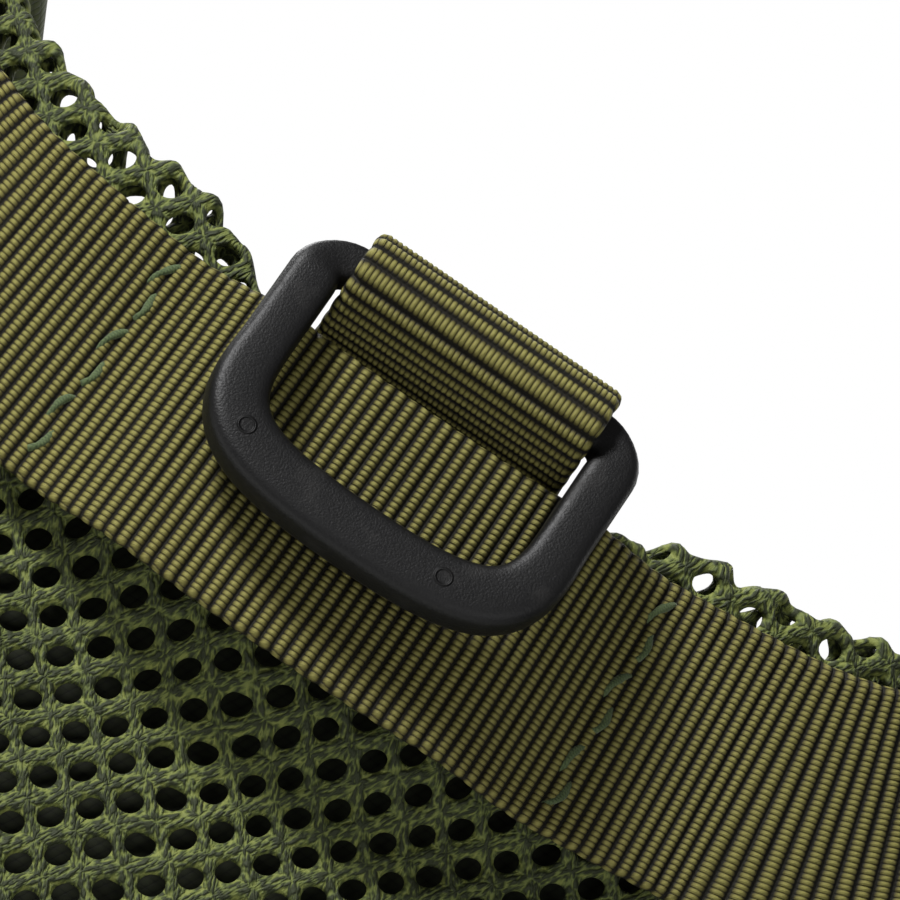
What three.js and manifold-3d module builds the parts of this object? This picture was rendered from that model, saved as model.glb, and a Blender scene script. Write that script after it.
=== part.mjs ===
// A mesh fishing vest in the shape it has when worn. Millimetres, +Z up, the wearer faces -Y.
// The origin is the middle of the neck opening, level with the lowest point of the back neck edge.

import * as THREE from "three";
import { mergeVertices } from "three/addons/utils/BufferGeometryUtils.js";
import Module from "manifold-3d";

const wasm = await Module();
wasm.setup();

// Body of the vest
const HALF_WIDTH = 235;
const BACK_DEPTH = 125;
const FRONT_DEPTH = 128;
const HEM_Z = -565;
const CHEST_Z = -225;
const SIDE_ROUNDNESS = 2.2;
const SHOULDER_ROUNDNESS = 2.4;
const UPPER_BACK_TAPER = 18;

// Neck, shoulders and armholes
const NECK_HALF_WIDTH = 78;
const NECK_MIDDLE_RADIUS = 413;
const NECK_MIDDLE_HALF = 38;
const NECK_RISE_RATE = 0.011;
const NAPE_RISE = 85;
const SHOULDER_HALF_WIDTH = 190;
const SHOULDER_SLOPE = 0.36;
const CROSS_HALF_WIDTH = 168;
const ARMHOLE_CURVE_SHARE = 0.4;

// Layers
const MESH_THICKNESS = 1.2;
const LAYER_GAP = 0.35;
const SEAM_GAP = 0.5;
const WEBBING_THICKNESS = 1.6;
const WEBBING_WIDTH = 25;
const BINDING_THICKNESS = 1.2;
const BINDING_WIDTH = 10;

// Net ring, its loop and the strap that holds them
const RING_SIDE_CLEARANCE = 0.5;
const RING_DEPTH = 25.9;
const RING_ARM = 4.7;
const RING_BASE = 5.6;
const RING_BAR = 3.8;
const RING_THICKNESS = 4.2;
const RING_BAR_THICKNESS = 3.2;
const RING_BEVEL = 1.1;
const RING_TILT = 12;
const BAR_CLEARANCE = 0.45;
const LOOP_INNER_RISE = 9.9;
const LOOP_RISE = LOOP_INNER_RISE + WEBBING_THICKNESS;
const LOOP_TAIL = 19;
const STRAP_HALF_SPAN = 58;
const STRAP_EDGE_DROP = 0.6;
const STITCH_HALF_SPACING = 25;
const BULGE_CLEARANCE = 0.7;
const RING_FACE_GAP = 0.8;
const RING_STANDOFF = WEBBING_THICKNESS + RING_FACE_GAP;
const RING_CORNER = 3;
const RING_WIDTH = WEBBING_WIDTH + 2 * (RING_SIDE_CLEARANCE + RING_ARM);
const BULGE_HALF_WIDTH = WEBBING_WIDTH / 2 + BULGE_CLEARANCE;

// Front zip
const ZIP_EDGE = 7.5;
const ZIP_SETBACK = 0.9;
const ZIP_TOP_GAP = 2;
const ZIP_ROW_GAP = 1.7;
const ZIP_ROW_WIDTH = 2.7;
const ZIP_ROW_HEIGHT = 2.6;
const ZIP_TAPE_WIDTH = 13;
const ZIP_TAPE_THICKNESS = 0.8;
const SLIDER_LENGTH = 14;
const SLIDER_WIDTH = 10.5;
const SLIDER_PLATE = 1.3;
const SLIDER_CLEARANCE = 0.4;
const PULL_LENGTH = 32;
const PULL_WIDTH = 9;
const PULL_THICKNESS = 1.8;
const CROWN_WIDTH = 2.6;
const CROWN_HEIGHT = 3.6;
const PULL_PIN = 1.5;
const STOP_HEIGHT = 3.5;
const STOP_EXTRA = 0.6;
const BOX_HEIGHT = 9;
const BOX_THICKNESS = 3.8;
const PIN_THICKNESS = 2.2;
const PIN_CLEARANCE = 0.6;
const CROWN_LENGTH = 8;
const PIN_EYE = 2.4;
const EYE_HEIGHT = 1.6;
const EYE_DROP = 1.5;
const POST_LENGTH = 4;
const PULL_SIDE = 2;
const PULL_WINDOW_HEIGHT = 6.2;
const PULL_TOP = 1.2;
const MERGE = 0.01;

// Pockets
const POCKET_WALL = 1.8;
const POCKET_COLUMN = 14;
const FLAP_THICKNESS = 2.2;
const FLAP_OVERLAP = 5;
const FLAP_HINGE_Y = 1.7;
const FLAP_SIDE_OVERLAP = 2;
const FLAP_ROOT = 0.4;
const POCKET_BEVEL = 4;
const POCKET_BEVEL_HEIGHT = 9;
const CHEST_POCKET = { name: "chest_pocket", x: 98, top: -172, width: 104, height: 112, depth: 17, drop: 40 };
const LOWER_POCKET = {
  name: "lower_pocket", x: 102, top: -330, width: 136, height: 172, depth: 27, drop: 52,
};
const REAR_POUCH = { name: "rear_pouch", x: 0, top: -345, width: 250, height: 185, depth: 12 };

// Trims
const LINING_THICKNESS = 0.8;
const YOKE_NECK_MARGIN = 13;
const YOKE_WIDTH = 67;
const YOKE_INNER_X = NECK_HALF_WIDTH + YOKE_NECK_MARGIN;
const YOKE_OUTER_X = YOKE_INNER_X + YOKE_WIDTH;
const YOKE_REACH = 0.26;
const YOKE_THICKNESS = 4.5;
const PATCH_WIDTH = 62;
const PATCH_HEIGHT = 40;
const PATCH_THICKNESS = 6;
const PATCH_X = 120;
const PATCH_Z = -118;
const TOOL_WEBBING_WIDTH = 15;
const TOOL_RING_CLEARANCE = 0.45;
const TOOL_RING_DEPTH = 16;
const TOOL_RING_STOCK = 2.8;
const TOOL_BAR_THICKNESS = 2;
const TOOL_RING_BEVEL = 0.7;
const TOOL_RING_CORNER = 2;
const TOOL_RING_WIDTH = TOOL_WEBBING_WIDTH + 2 * (TOOL_RING_CLEARANCE + TOOL_RING_STOCK);
const TOOL_RING_X = 72;
const TOOL_RING_Z = -112;
const TOOL_LOOP_INNER_RISE = 6.9;
const TOOL_LOOP_RISE = TOOL_LOOP_INNER_RISE + WEBBING_THICKNESS;
const TOOL_LOOP_TAIL = 16;
const TOOL_LOOP_CLEARANCE = 0.1;
const SIDE_STRAP_Z = -440;
const SIDE_STRAP_REACH = 84;
const SIDE_FRONT_TAIL = 18;
const SIDE_BACK_TAIL = 46;
const BUCKLE_LENGTH = 28;
const BUCKLE_END = 3.25;
const SLOT_CLEARANCE = 1.5;
const BUCKLE_HEIGHT = WEBBING_WIDTH + SLOT_CLEARANCE + 2 * BUCKLE_END;
const BUCKLE_CLEARANCE = 1.1;
const BUCKLE_THICKNESS = 3.6;
const BUCKLE_SLOT = 7.2;
const BUCKLE_RAIL = 3.4;

const MESH_OUTSIDE = MESH_THICKNESS + LAYER_GAP;
const DEGREE = Math.PI / 180;

const finishes = {
  mesh: new THREE.MeshStandardMaterial({ color: 0x4b5a28, roughness: 0.9, metalness: 0 }),
  cloth: new THREE.MeshStandardMaterial({ color: 0x5f6436, roughness: 0.85, metalness: 0 }),
  webbing: new THREE.MeshStandardMaterial({ color: 0x6e5f2d, roughness: 0.8, metalness: 0 }),
  binding: new THREE.MeshStandardMaterial({ color: 0x3b4222, roughness: 0.85, metalness: 0 }),
  fleece: new THREE.MeshStandardMaterial({ color: 0xd6cfb8, roughness: 1, metalness: 0 }),
  moulding: new THREE.MeshStandardMaterial({ color: 0x232325, roughness: 0.45, metalness: 0 }),
  lining: new THREE.MeshStandardMaterial({ color: 0x14160c, roughness: 0.9, metalness: 0 }),
};

const vest = new THREE.Group();
vest.name = "fishing_vest";

// ---- Solids ----

function signedVolume(points, index) {
  let six = 0;
  for (let i = 0; i < index.length; i += 3) {
    const [a, b, c] = [points[index[i]], points[index[i + 1]], points[index[i + 2]]];
    six += a.dot(b.clone().cross(c));
  }
  return six / 6;
}

// A closed geometry from shared points and triangles, turned to face out.
function closed(points, index) {
  const order = signedVolume(points, index) < 0 ? index.toReversed() : index;
  const geometry = new THREE.BufferGeometry().setFromPoints(points);
  geometry.setIndex(order);
  geometry.computeVertexNormals();
  return geometry;
}

// A sheet with thickness: two grids of points, each given as a function of u and v from 0 to 1.
function slab(cols, rows, outer, inner) {
  const points = [];
  for (const face of [outer, inner])
    for (let j = 0; j <= rows; j++)
      for (let i = 0; i <= cols; i++) points.push(face(i / cols, j / rows));
  const at = (side, i, j) => (side * (rows + 1) + j) * (cols + 1) + i;
  const index = [];
  const quad = (a, b, c, d) => index.push(a, b, c, a, c, d);
  for (let j = 0; j < rows; j++)
    for (let i = 0; i < cols; i++) {
      quad(at(0, i, j), at(0, i + 1, j), at(0, i + 1, j + 1), at(0, i, j + 1));
      quad(at(1, i, j), at(1, i, j + 1), at(1, i + 1, j + 1), at(1, i + 1, j));
    }
  for (let i = 0; i < cols; i++) {
    quad(at(1, i, 0), at(1, i + 1, 0), at(0, i + 1, 0), at(0, i, 0));
    quad(at(0, i, rows), at(0, i + 1, rows), at(1, i + 1, rows), at(1, i, rows));
  }
  for (let j = 0; j < rows; j++) {
    quad(at(0, 0, j), at(0, 0, j + 1), at(1, 0, j + 1), at(1, 0, j));
    quad(at(1, cols, j), at(1, cols, j + 1), at(0, cols, j + 1), at(0, cols, j));
  }
  return closed(points, index);
}

// A bar along a route: rings of points, one ring for each station, joined end to end or capped.
function sweep(rings, joined) {
  const count = rings[0].length;
  const index = [];
  const spans = joined ? rings.length : rings.length - 1;
  for (let k = 0; k < spans; k++) {
    const here = k * count;
    const next = ((k + 1) % rings.length) * count;
    for (let i = 0; i < count; i++) {
      const j = (i + 1) % count;
      index.push(here + i, here + j, next + j, here + i, next + j, next + i);
    }
  }
  if (!joined) {
    const last = (rings.length - 1) * count;
    for (let i = 1; i < count - 1; i++) {
      index.push(0, i + 1, i);
      index.push(last, last + i, last + i + 1);
    }
  }
  return closed(rings.flat(), index);
}

function box(width, depth, height, x = 0, y = 0, z = 0) {
  return new THREE.BoxGeometry(width, depth, height).translate(x, y, z);
}

// A round bar along X.
function rod(radius, length) {
  return new THREE.CylinderGeometry(radius, radius, length, 16).rotateZ(Math.PI / 2);
}

function toSolid(geometry) {
  const bare = geometry.clone();
  bare.deleteAttribute("normal");
  bare.deleteAttribute("uv");
  const merged = mergeVertices(bare, 1e-4);
  const vertProperties = merged.attributes.position.array;
  const triVerts = new Uint32Array(merged.index.array);
  return new wasm.Manifold(new wasm.Mesh({ numProp: 3, vertProperties, triVerts }));
}

function toGeometry(solid) {
  const mesh = solid.getMesh();
  const geometry = new THREE.BufferGeometry();
  geometry.setAttribute("position", new THREE.BufferAttribute(mesh.vertProperties, 3));
  geometry.setIndex(new THREE.BufferAttribute(mesh.triVerts, 1));
  geometry.computeVertexNormals();
  return geometry;
}

function joinAll(...geometries) {
  return toGeometry(geometries.map(toSolid).reduce((whole, next) => whole.add(next)));
}

function cutAway(geometry, ...tools) {
  return toGeometry(tools.map(toSolid).reduce((left, tool) => left.subtract(tool), toSolid(geometry)));
}

function addPiece(name, geometry, finish, matrix = new THREE.Matrix4()) {
  const mesh = new THREE.Mesh(geometry, finish);
  mesh.name = name;
  mesh.applyMatrix4(matrix);
  vest.add(mesh);
  return mesh;
}

// ---- The wearer's shape ----

const signedPower = (value, power) => Math.sign(value) * Math.abs(value) ** power;
const lerp = THREE.MathUtils.lerp;
const clamp = THREE.MathUtils.clamp;

// Height of the back neck edge at a distance x from the middle.
function neckEdge(x) {
  const beyond = Math.max(0, Math.abs(x) - NECK_MIDDLE_HALF);
  return (x * x) / (2 * NECK_MIDDLE_RADIUS) + NECK_RISE_RATE * beyond * beyond;
}

const NECK_POINT_Z = neckEdge(NECK_HALF_WIDTH);

// Height of the shoulder line, and of the nape that the back would rise to inside the neck.
function ridgeHeight(x, isBack) {
  const outside = Math.abs(x) - NECK_HALF_WIDTH;
  if (outside > 0) return NECK_POINT_Z - SHOULDER_SLOPE * outside;
  return NECK_POINT_Z + (isBack ? NAPE_RISE * (1 - (x / NECK_HALF_WIDTH) ** 2) ** 2 : 0);
}

function depthAt(isBack, z) {
  const share = clamp((z - CHEST_Z) / -CHEST_Z, 0, 1.1);
  return isBack ? BACK_DEPTH - UPPER_BACK_TAPER * share * share : FRONT_DEPTH;
}

// A point of the wearer's shape. The turn is 0 at the middle of the back, 90 degrees at +X and 180 in
// front. A level under 0 is millimetres below the chest line, and 0 to 2 goes over the shoulder.
function bodyPoint(turn, level) {
  const climb = (Math.max(level, 0) * Math.PI) / 2;
  const x = HALF_WIDTH * signedPower(Math.sin(turn), 2 / SIDE_ROUNDNESS);
  const across = signedPower(Math.cos(turn), 2 / SIDE_ROUNDNESS);
  const over = signedPower(Math.cos(climb), 2 / SHOULDER_ROUNDNESS);
  const isBack = across * over > 0;
  const rise = ridgeHeight(x, isBack) - CHEST_Z;
  const z = level < 0 ? CHEST_Z + level : CHEST_Z + rise * Math.sin(climb) ** (2 / SHOULDER_ROUNDNESS);
  return new THREE.Vector3(x, depthAt(isBack, z) * across * over, z);
}

// The level at which the shape is down at the chest line again, on the far side of the shoulder.
const TOP_LEVEL = 2;

function bodyNormal(turn, level) {
  const step = 1e-3;
  const levelStep = level < 0 ? 1 : step;
  const lower = level < levelStep ? level : level - step;
  const higher = Math.min(level + levelStep, TOP_LEVEL);
  const along = bodyPoint(turn + step, level).sub(bodyPoint(turn - step, level));
  const up = bodyPoint(turn, higher).sub(bodyPoint(turn, lower));
  return up.cross(along).normalize();
}

function offBody(turn, level, offset) {
  return bodyPoint(turn, level).addScaledVector(bodyNormal(turn, level), offset);
}

const turnAt = (x) => Math.asin(signedPower(clamp(x / HALF_WIDTH, -1, 1), SIDE_ROUNDNESS / 2));

function levelAt(x, z, isBack) {
  if (z < CHEST_Z) return z - CHEST_Z;
  const share = clamp((z - CHEST_Z) / (ridgeHeight(x, isBack) - CHEST_Z), 0, 1);
  return Math.asin(share ** (SHOULDER_ROUNDNESS / 2)) / (Math.PI / 2);
}

// The point of the back or the front at x and z, raised by an offset.
function place(x, z, isBack, offset) {
  const turn = isBack ? turnAt(x) : Math.PI - turnAt(x);
  return offBody(turn, levelAt(x, z, isBack), offset);
}

// A frame on the surface: X along it, Y out of it and Z up it.
function frameOn(x, z, isBack, offset, upright = false) {
  const origin = place(x, z, isBack, offset);
  const out = place(x, z, isBack, offset + 1).sub(origin);
  if (upright) out.z = 0;
  out.normalize();
  const along = out.clone().cross(new THREE.Vector3(0, 0, 1)).normalize();
  const up = along.clone().cross(out);
  return new THREE.Matrix4().makeBasis(along, out, up).setPosition(origin);
}

// Half the width of the back and the fronts between the armholes, at a share of the way up.
function armholeHalfWidth(share) {
  const low = Math.max(0, 1 - share / ARMHOLE_CURVE_SHARE);
  const high = Math.max(0, (share - ARMHOLE_CURVE_SHARE) / (1 - ARMHOLE_CURVE_SHARE));
  const spread = (HALF_WIDTH - CROSS_HALF_WIDTH) * low ** 2.5;
  return CROSS_HALF_WIDTH + spread + (SHOULDER_HALF_WIDTH - CROSS_HALF_WIDTH) * high ** 2;
}

const neckOpening = (share) => lerp(ZIP_EDGE, NECK_HALF_WIDTH, share ** 0.9);

// ---- Panels ----

const LOWER_ROWS = 6;
const UPPER_ROWS = 9;
const PANEL_ROWS = LOWER_ROWS + UPPER_ROWS;
const NECK_COLUMNS = 5;
const PANEL_COLUMN_WIDTH = 19.6;
const BACK_COLUMNS = Math.round(HALF_WIDTH / PANEL_COLUMN_WIDTH);
const FRONT_COLUMNS = Math.round(HALF_WIDTH / PANEL_COLUMN_WIDTH);

// The height of a row: the level for the rows under the chest line, and the share above it.
function rowHeight(v) {
  const row = v * PANEL_ROWS;
  const share = THREE.MathUtils.smoothstep((row - LOWER_ROWS) / UPPER_ROWS, 0, 1);
  const below = Math.min(0, (row - LOWER_ROWS) / LOWER_ROWS) * (CHEST_Z - HEM_Z);
  return { share, below };
}

const seamTurn = SEAM_GAP / 2 / FRONT_DEPTH;
const SEAM_LEVEL_GAP = 0.004;
const seamLevel = 1 - SEAM_LEVEL_GAP;

// The back's columns: a share of the way from the middle to the armhole, with one at the neck point.
function backColumn(u) {
  const side = 2 * u - 1;
  const neckShare = turnAt(NECK_HALF_WIDTH) / turnAt(SHOULDER_HALF_WIDTH);
  const split = NECK_COLUMNS / BACK_COLUMNS;
  const reach = Math.abs(side);
  if (reach < split) return (Math.sign(side) * neckShare * reach) / split;
  return Math.sign(side) * lerp(neckShare, 1, (reach - split) / (1 - split));
}

function backPanelPoint(u, v, offset) {
  const { share, below } = rowHeight(v);
  const column = backColumn(u);
  const turn = column * Math.min(turnAt(armholeHalfWidth(share)), Math.PI / 2 - seamTurn);
  const topX = HALF_WIDTH * signedPower(Math.sin(column * turnAt(SHOULDER_HALF_WIDTH)), 2 / SIDE_ROUNDNESS);
  const isNeck = Math.abs(topX) < NECK_HALF_WIDTH - 1e-6;
  const top = isNeck ? Math.min(seamLevel, levelAt(topX, neckEdge(topX), true)) : seamLevel;
  return offBody(turn, below < 0 ? below : share * top, offset);
}

function frontPanelPoint(side, u, v, offset) {
  const { share, below } = rowHeight(v);
  const inner = turnAt(neckOpening(share));
  const outer = Math.min(turnAt(armholeHalfWidth(share)), Math.PI / 2 - seamTurn);
  const turn = Math.PI - lerp(inner, outer, u);
  return offBody(side * turn, below < 0 ? below : share * seamLevel, offset);
}

// Rows and columns of the back panel's grid that the lining lies behind.
const LINING_ROWS = { low: LOWER_ROWS + 2, high: PANEL_ROWS - 1 };
const LINING_EDGE_COLUMN = 3;

function addLining() {
  const first = LINING_EDGE_COLUMN / (2 * BACK_COLUMNS);
  const surface = (offset) => (u, v) => {
    const row = lerp(LINING_ROWS.low, LINING_ROWS.high, v) / PANEL_ROWS;
    return backPanelPoint(lerp(first, 1 - first, u), row, offset);
  };
  const columns = 2 * (BACK_COLUMNS - LINING_EDGE_COLUMN);
  const rows = LINING_ROWS.high - LINING_ROWS.low;
  const sheet = slab(columns, rows, surface(-LAYER_GAP), surface(-LAYER_GAP - LINING_THICKNESS));
  addPiece("back_lining", sheet, finishes.lining);
}

function addPanels() {
  const back = (offset) => (u, v) => backPanelPoint(u, v, offset);
  addPiece("back_panel", slab(2 * BACK_COLUMNS, PANEL_ROWS, back(MESH_THICKNESS), back(0)), finishes.mesh);
  for (const [name, side] of [["left", 1], ["right", -1]]) {
    const front = (offset) => (u, v) => frontPanelPoint(side, u, v, offset);
    const sheet = slab(FRONT_COLUMNS, PANEL_ROWS, front(MESH_THICKNESS), front(0));
    addPiece("front_panel_" + name, sheet, finishes.mesh);
  }
}

// ---- Ribbons: a flat strip on the surface, from stations of edge points and outward directions ----

function ribbon(stations, width, thickness, offset, joined = false) {
  const count = stations.length;
  const rings = stations.map(({ point, normal }, k) => {
    const before = stations[joined ? (k + count - 1) % count : Math.max(0, k - 1)].point;
    const after = stations[joined ? (k + 1) % count : Math.min(count - 1, k + 1)].point;
    const inward = normal.clone().cross(after.clone().sub(before)).normalize();
    const corner = (across, out) =>
      point.clone().addScaledVector(inward, across).addScaledVector(normal, offset + out);
    return [corner(0, 0), corner(width, 0), corner(width, thickness), corner(0, thickness)];
  });
  return sweep(rings, joined);
}

function station(turn, level) {
  return { point: bodyPoint(turn, level), normal: bodyNormal(turn, level) };
}

// Stations at even steps along a line that is given as a function from 0 to 1.
function evenStations(line, steps, joined = false) {
  const fine = 600;
  const lengths = [0];
  for (let k = 1; k <= fine; k++)
    lengths.push(lengths[k - 1] + line(k / fine).point.distanceTo(line((k - 1) / fine).point));
  const stations = [];
  let k = 0;
  for (let step = 0; step < (joined ? steps : steps + 1); step++) {
    const wanted = (lengths[fine] * step) / steps;
    while (k < fine - 1 && lengths[k + 1] < wanted) k++;
    stations.push(line((k + (wanted - lengths[k]) / (lengths[k + 1] - lengths[k])) / fine));
  }
  return stations;
}

const HEM_STEPS = 7 * BACK_COLUMNS;
const ARMHOLE_STEPS = 60;
const FRONT_EDGE_STEPS = 26;
const FRONT_EDGE_SPAN = { low: 0.02, high: 0.97 };
const HEM_SETBACK = 1;

function addBindings() {
  const hemTurn = Math.PI - turnAt(ZIP_EDGE + HEM_SETBACK);
  const hem = evenStations((t) => station(lerp(-hemTurn, hemTurn, t), HEM_Z - CHEST_Z), HEM_STEPS);
  addPiece("hem_binding", ribbon(hem, -BINDING_WIDTH, BINDING_THICKNESS, MESH_OUTSIDE), finishes.binding);
  for (const [name, side] of [["left", 1], ["right", -1]]) {
    const armholeEdge = (t) => {
      const share = (1 - Math.abs(2 * t - 1)) ** 2;
      const level = t < 0.5 ? share : 2 - share;
      return station(side * Math.min(turnAt(armholeHalfWidth(share)), Math.PI / 2), level);
    };
    const width = -side * BINDING_WIDTH;
    const seat = MESH_OUTSIDE + LAYER_GAP;
    const hole = evenStations(armholeEdge, ARMHOLE_STEPS, true);
    const holeEdge = ribbon(hole, width, BINDING_THICKNESS, seat, true);
    addPiece("armhole_binding_" + name, holeEdge, finishes.binding);
    const frontEdge = (t) => {
      const share = lerp(FRONT_EDGE_SPAN.low, FRONT_EDGE_SPAN.high, t);
      return station(side * (Math.PI - turnAt(neckOpening(share))), share);
    };
    const front = ribbon(evenStations(frontEdge, FRONT_EDGE_STEPS), width, BINDING_THICKNESS, seat);
    addPiece("front_edge_binding_" + name, front, finishes.binding);
  }
}

// ---- Shoulder yokes ----

const YOKE_COLUMNS = 7;
const YOKE_ROWS = 18;

function addYokes() {
  for (const [name, side] of [["left", 1], ["right", -1]]) {
    const surface = (offset) => (u, v) => {
      const turn = side * lerp(turnAt(YOKE_INNER_X), turnAt(YOKE_OUTER_X), u);
      return offBody(turn, lerp(1 - YOKE_REACH, 1 + YOKE_REACH, v), offset);
    };
    const low = MESH_OUTSIDE + LAYER_GAP;
    const pad = slab(YOKE_COLUMNS, YOKE_ROWS, surface(low + YOKE_THICKNESS), surface(low));
    addPiece("shoulder_yoke_" + name, pad, finishes.cloth);
  }
}

// ---- Back neck strap, ring loop and rings ----

const LOOP_LAYERS = 2 * (WEBBING_THICKNESS + LAYER_GAP);
const LOOP_SEAT_Z = -STRAP_EDGE_DROP - LOOP_TAIL / 2;

// How far the strap stands off the panel: it passes over both legs of the ring loop.
function strapBulge(x) {
  const share = (STITCH_HALF_SPACING - Math.abs(x)) / (STITCH_HALF_SPACING - BULGE_HALF_WIDTH);
  return (LOOP_LAYERS + 2 * LAYER_GAP) * THREE.MathUtils.smoothstep(share, 0, 1);
}

const STRAP_COLUMNS = 46;
const STRAP_ROW_HEIGHT = 6.2;
const STRAP_ROWS = Math.round(WEBBING_WIDTH / STRAP_ROW_HEIGHT);

function addNeckStrap() {
  const upper = place(0, 0, true, 0);
  const lower = place(0, -WEBBING_WIDTH, true, 0);
  const neckLean = upper.distanceTo(lower) / WEBBING_WIDTH;
  const surface = (out) => (u, v) => {
    const x = lerp(-STRAP_HALF_SPAN, STRAP_HALF_SPAN, u);
    const slope = neckEdge(x + 0.5) - neckEdge(x - 0.5);
    const length = Math.hypot(1, slope);
    const down = STRAP_EDGE_DROP + (1 - v) * WEBBING_WIDTH;
    const z = neckEdge(x) - down / length / neckLean;
    return place(x + (down * slope) / length, z, true, MESH_OUTSIDE + strapBulge(x) + out);
  };
  const strap = slab(STRAP_COLUMNS, STRAP_ROWS, surface(WEBBING_THICKNESS), surface(0));
  addPiece("back_neck_strap", strap, finishes.webbing);
}

// How far a loop's legs stay flat above their seat, and the shape of their bends up to the fold.
const LEG_TOP = 1.5;
const LEG_LEAVE = 0.25;
const LEG_ARRIVE = 0.45;

// The side view of a webbing loop: two legs on the panel and a round fold about the ring's bar.
// y is the height off the panel and z the height above the frame; seat is the strap's edge in that frame.
function loopRoute(innerRadius, rise, tail, centreY, seat = 0) {
  const half = WEBBING_THICKNESS / 2;
  const radius = innerRadius + half;
  const centreZ = seat + rise - innerRadius - WEBBING_THICKNESS;
  const backY = half;
  const frontY = WEBBING_THICKNESS + LAYER_GAP + half;
  const legTop = seat + LEG_TOP;
  const legFoot = seat - tail;
  const path = new THREE.Path();
  path.moveTo(backY, legFoot);
  path.lineTo(backY, legTop);
  const leave = lerp(legTop, centreZ, LEG_LEAVE);
  const arrive = lerp(legTop, centreZ, LEG_ARRIVE);
  path.bezierCurveTo(backY, leave, centreY - radius, arrive, centreY - radius, centreZ);
  path.absarc(centreY, centreZ, radius, Math.PI, 0, true);
  path.bezierCurveTo(centreY + radius, arrive, frontY, leave, frontY, legTop);
  path.lineTo(frontY, legFoot);
  return { path, centreY, centreZ };
}

function webbingLoop(route, width) {
  const points = route.path.getPoints(8);
  const clean = points.filter((point, k) => k === 0 || point.distanceTo(points[k - 1]) > 1e-3);
  const half = WEBBING_THICKNESS / 2;
  const rings = clean.map((point, k) => {
    const before = clean[Math.max(0, k - 1)];
    const after = clean[Math.min(clean.length - 1, k + 1)];
    const along = after.clone().sub(before).normalize();
    const corner = (x, out) => new THREE.Vector3(x, point.x - along.y * out, point.y + along.x * out);
    const reach = width / 2;
    return [corner(-reach, -half), corner(reach, -half), corner(reach, half), corner(-reach, half)];
  });
  return sweep(rings, false);
}

// The D's outline: where its arms end and how round its foot is, as shares of its depth and half width.
const RING_SHOULDER = 0.6;
const FOOT_ROUND = 0.93;
const FOOT_FLAT = 0.72;
const FOOT_SPREAD = [0.45, 0.95];
const RING_STEPS = 72;

// A D-ring that hangs from a straight bar at its own origin. arm, base and bar are the stock's widths.
function hangingRing({ width, depth, arm, base, bar, thickness, barThickness, bevel, topCorner }) {
  const half = (width - arm) / 2;
  const foot = -(depth - bar / 2 - base / 2);
  const shoulder = foot * RING_SHOULDER;
  const outline = new THREE.Path();
  outline.moveTo(0, 0);
  outline.lineTo(half - topCorner, 0);
  outline.absarc(half - topCorner, -topCorner, topCorner, Math.PI / 2, 0, true);
  outline.lineTo(half, shoulder);
  outline.bezierCurveTo(half, foot * FOOT_ROUND, half * FOOT_FLAT, foot, 0, foot);
  outline.bezierCurveTo(-half * FOOT_FLAT, foot, -half, foot * FOOT_ROUND, -half, shoulder);
  outline.lineTo(-half, -topCorner);
  outline.absarc(topCorner - half, -topCorner, topCorner, Math.PI, Math.PI / 2, true);
  outline.lineTo(0, 0);
  const stations = outline.getSpacedPoints(RING_STEPS).slice(0, -1);
  const count = stations.length;
  const rings = stations.map((point, k) => {
    const before = stations[(k + count - 1) % count];
    const after = stations[(k + 1) % count];
    const along = after.clone().sub(before).normalize();
    const toFoot = THREE.MathUtils.smoothstep(point.y / foot, ...FOOT_SPREAD);
    const toArm = THREE.MathUtils.smoothstep(-point.y, 0, topCorner);
    const stock = lerp(lerp(bar, arm, toArm), base, toFoot) / 2;
    const deep = lerp(barThickness, thickness, toArm) / 2;
    const outlinePoints = [
      [stock - bevel, deep], [stock, deep - bevel], [stock, bevel - deep], [stock - bevel, -deep],
      [bevel - stock, -deep], [-stock, bevel - deep], [-stock, deep - bevel], [bevel - stock, deep],
    ];
    return outlinePoints.map(
      ([out, y]) => new THREE.Vector3(point.x + along.y * out, y, point.y - along.x * out),
    );
  });
  return sweep(rings, true);
}

function addNetRing() {
  const innerRadius = Math.hypot(RING_BAR / 2, RING_THICKNESS / 2 - RING_BEVEL) + BAR_CLEARANCE;
  const frame = frameOn(0, LOOP_SEAT_Z, true, MESH_OUTSIDE);
  const route = loopRoute(innerRadius, LOOP_RISE, LOOP_TAIL, LOOP_LAYERS + RING_STANDOFF, LOOP_TAIL / 2);
  addPiece("ring_loop", webbingLoop(route, WEBBING_WIDTH), finishes.webbing, frame);
  const ring = hangingRing({
    width: RING_WIDTH, depth: RING_DEPTH, arm: RING_ARM, base: RING_BASE, bar: RING_BAR,
    thickness: RING_THICKNESS, barThickness: RING_BAR_THICKNESS, bevel: RING_BEVEL, topCorner: RING_CORNER,
  });
  const swing = new THREE.Matrix4().makeRotationX(RING_TILT * DEGREE);
  swing.setPosition(0, route.centreY, route.centreZ);
  addPiece("net_ring", ring, finishes.moulding, frame.clone().multiply(swing));
}

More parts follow.
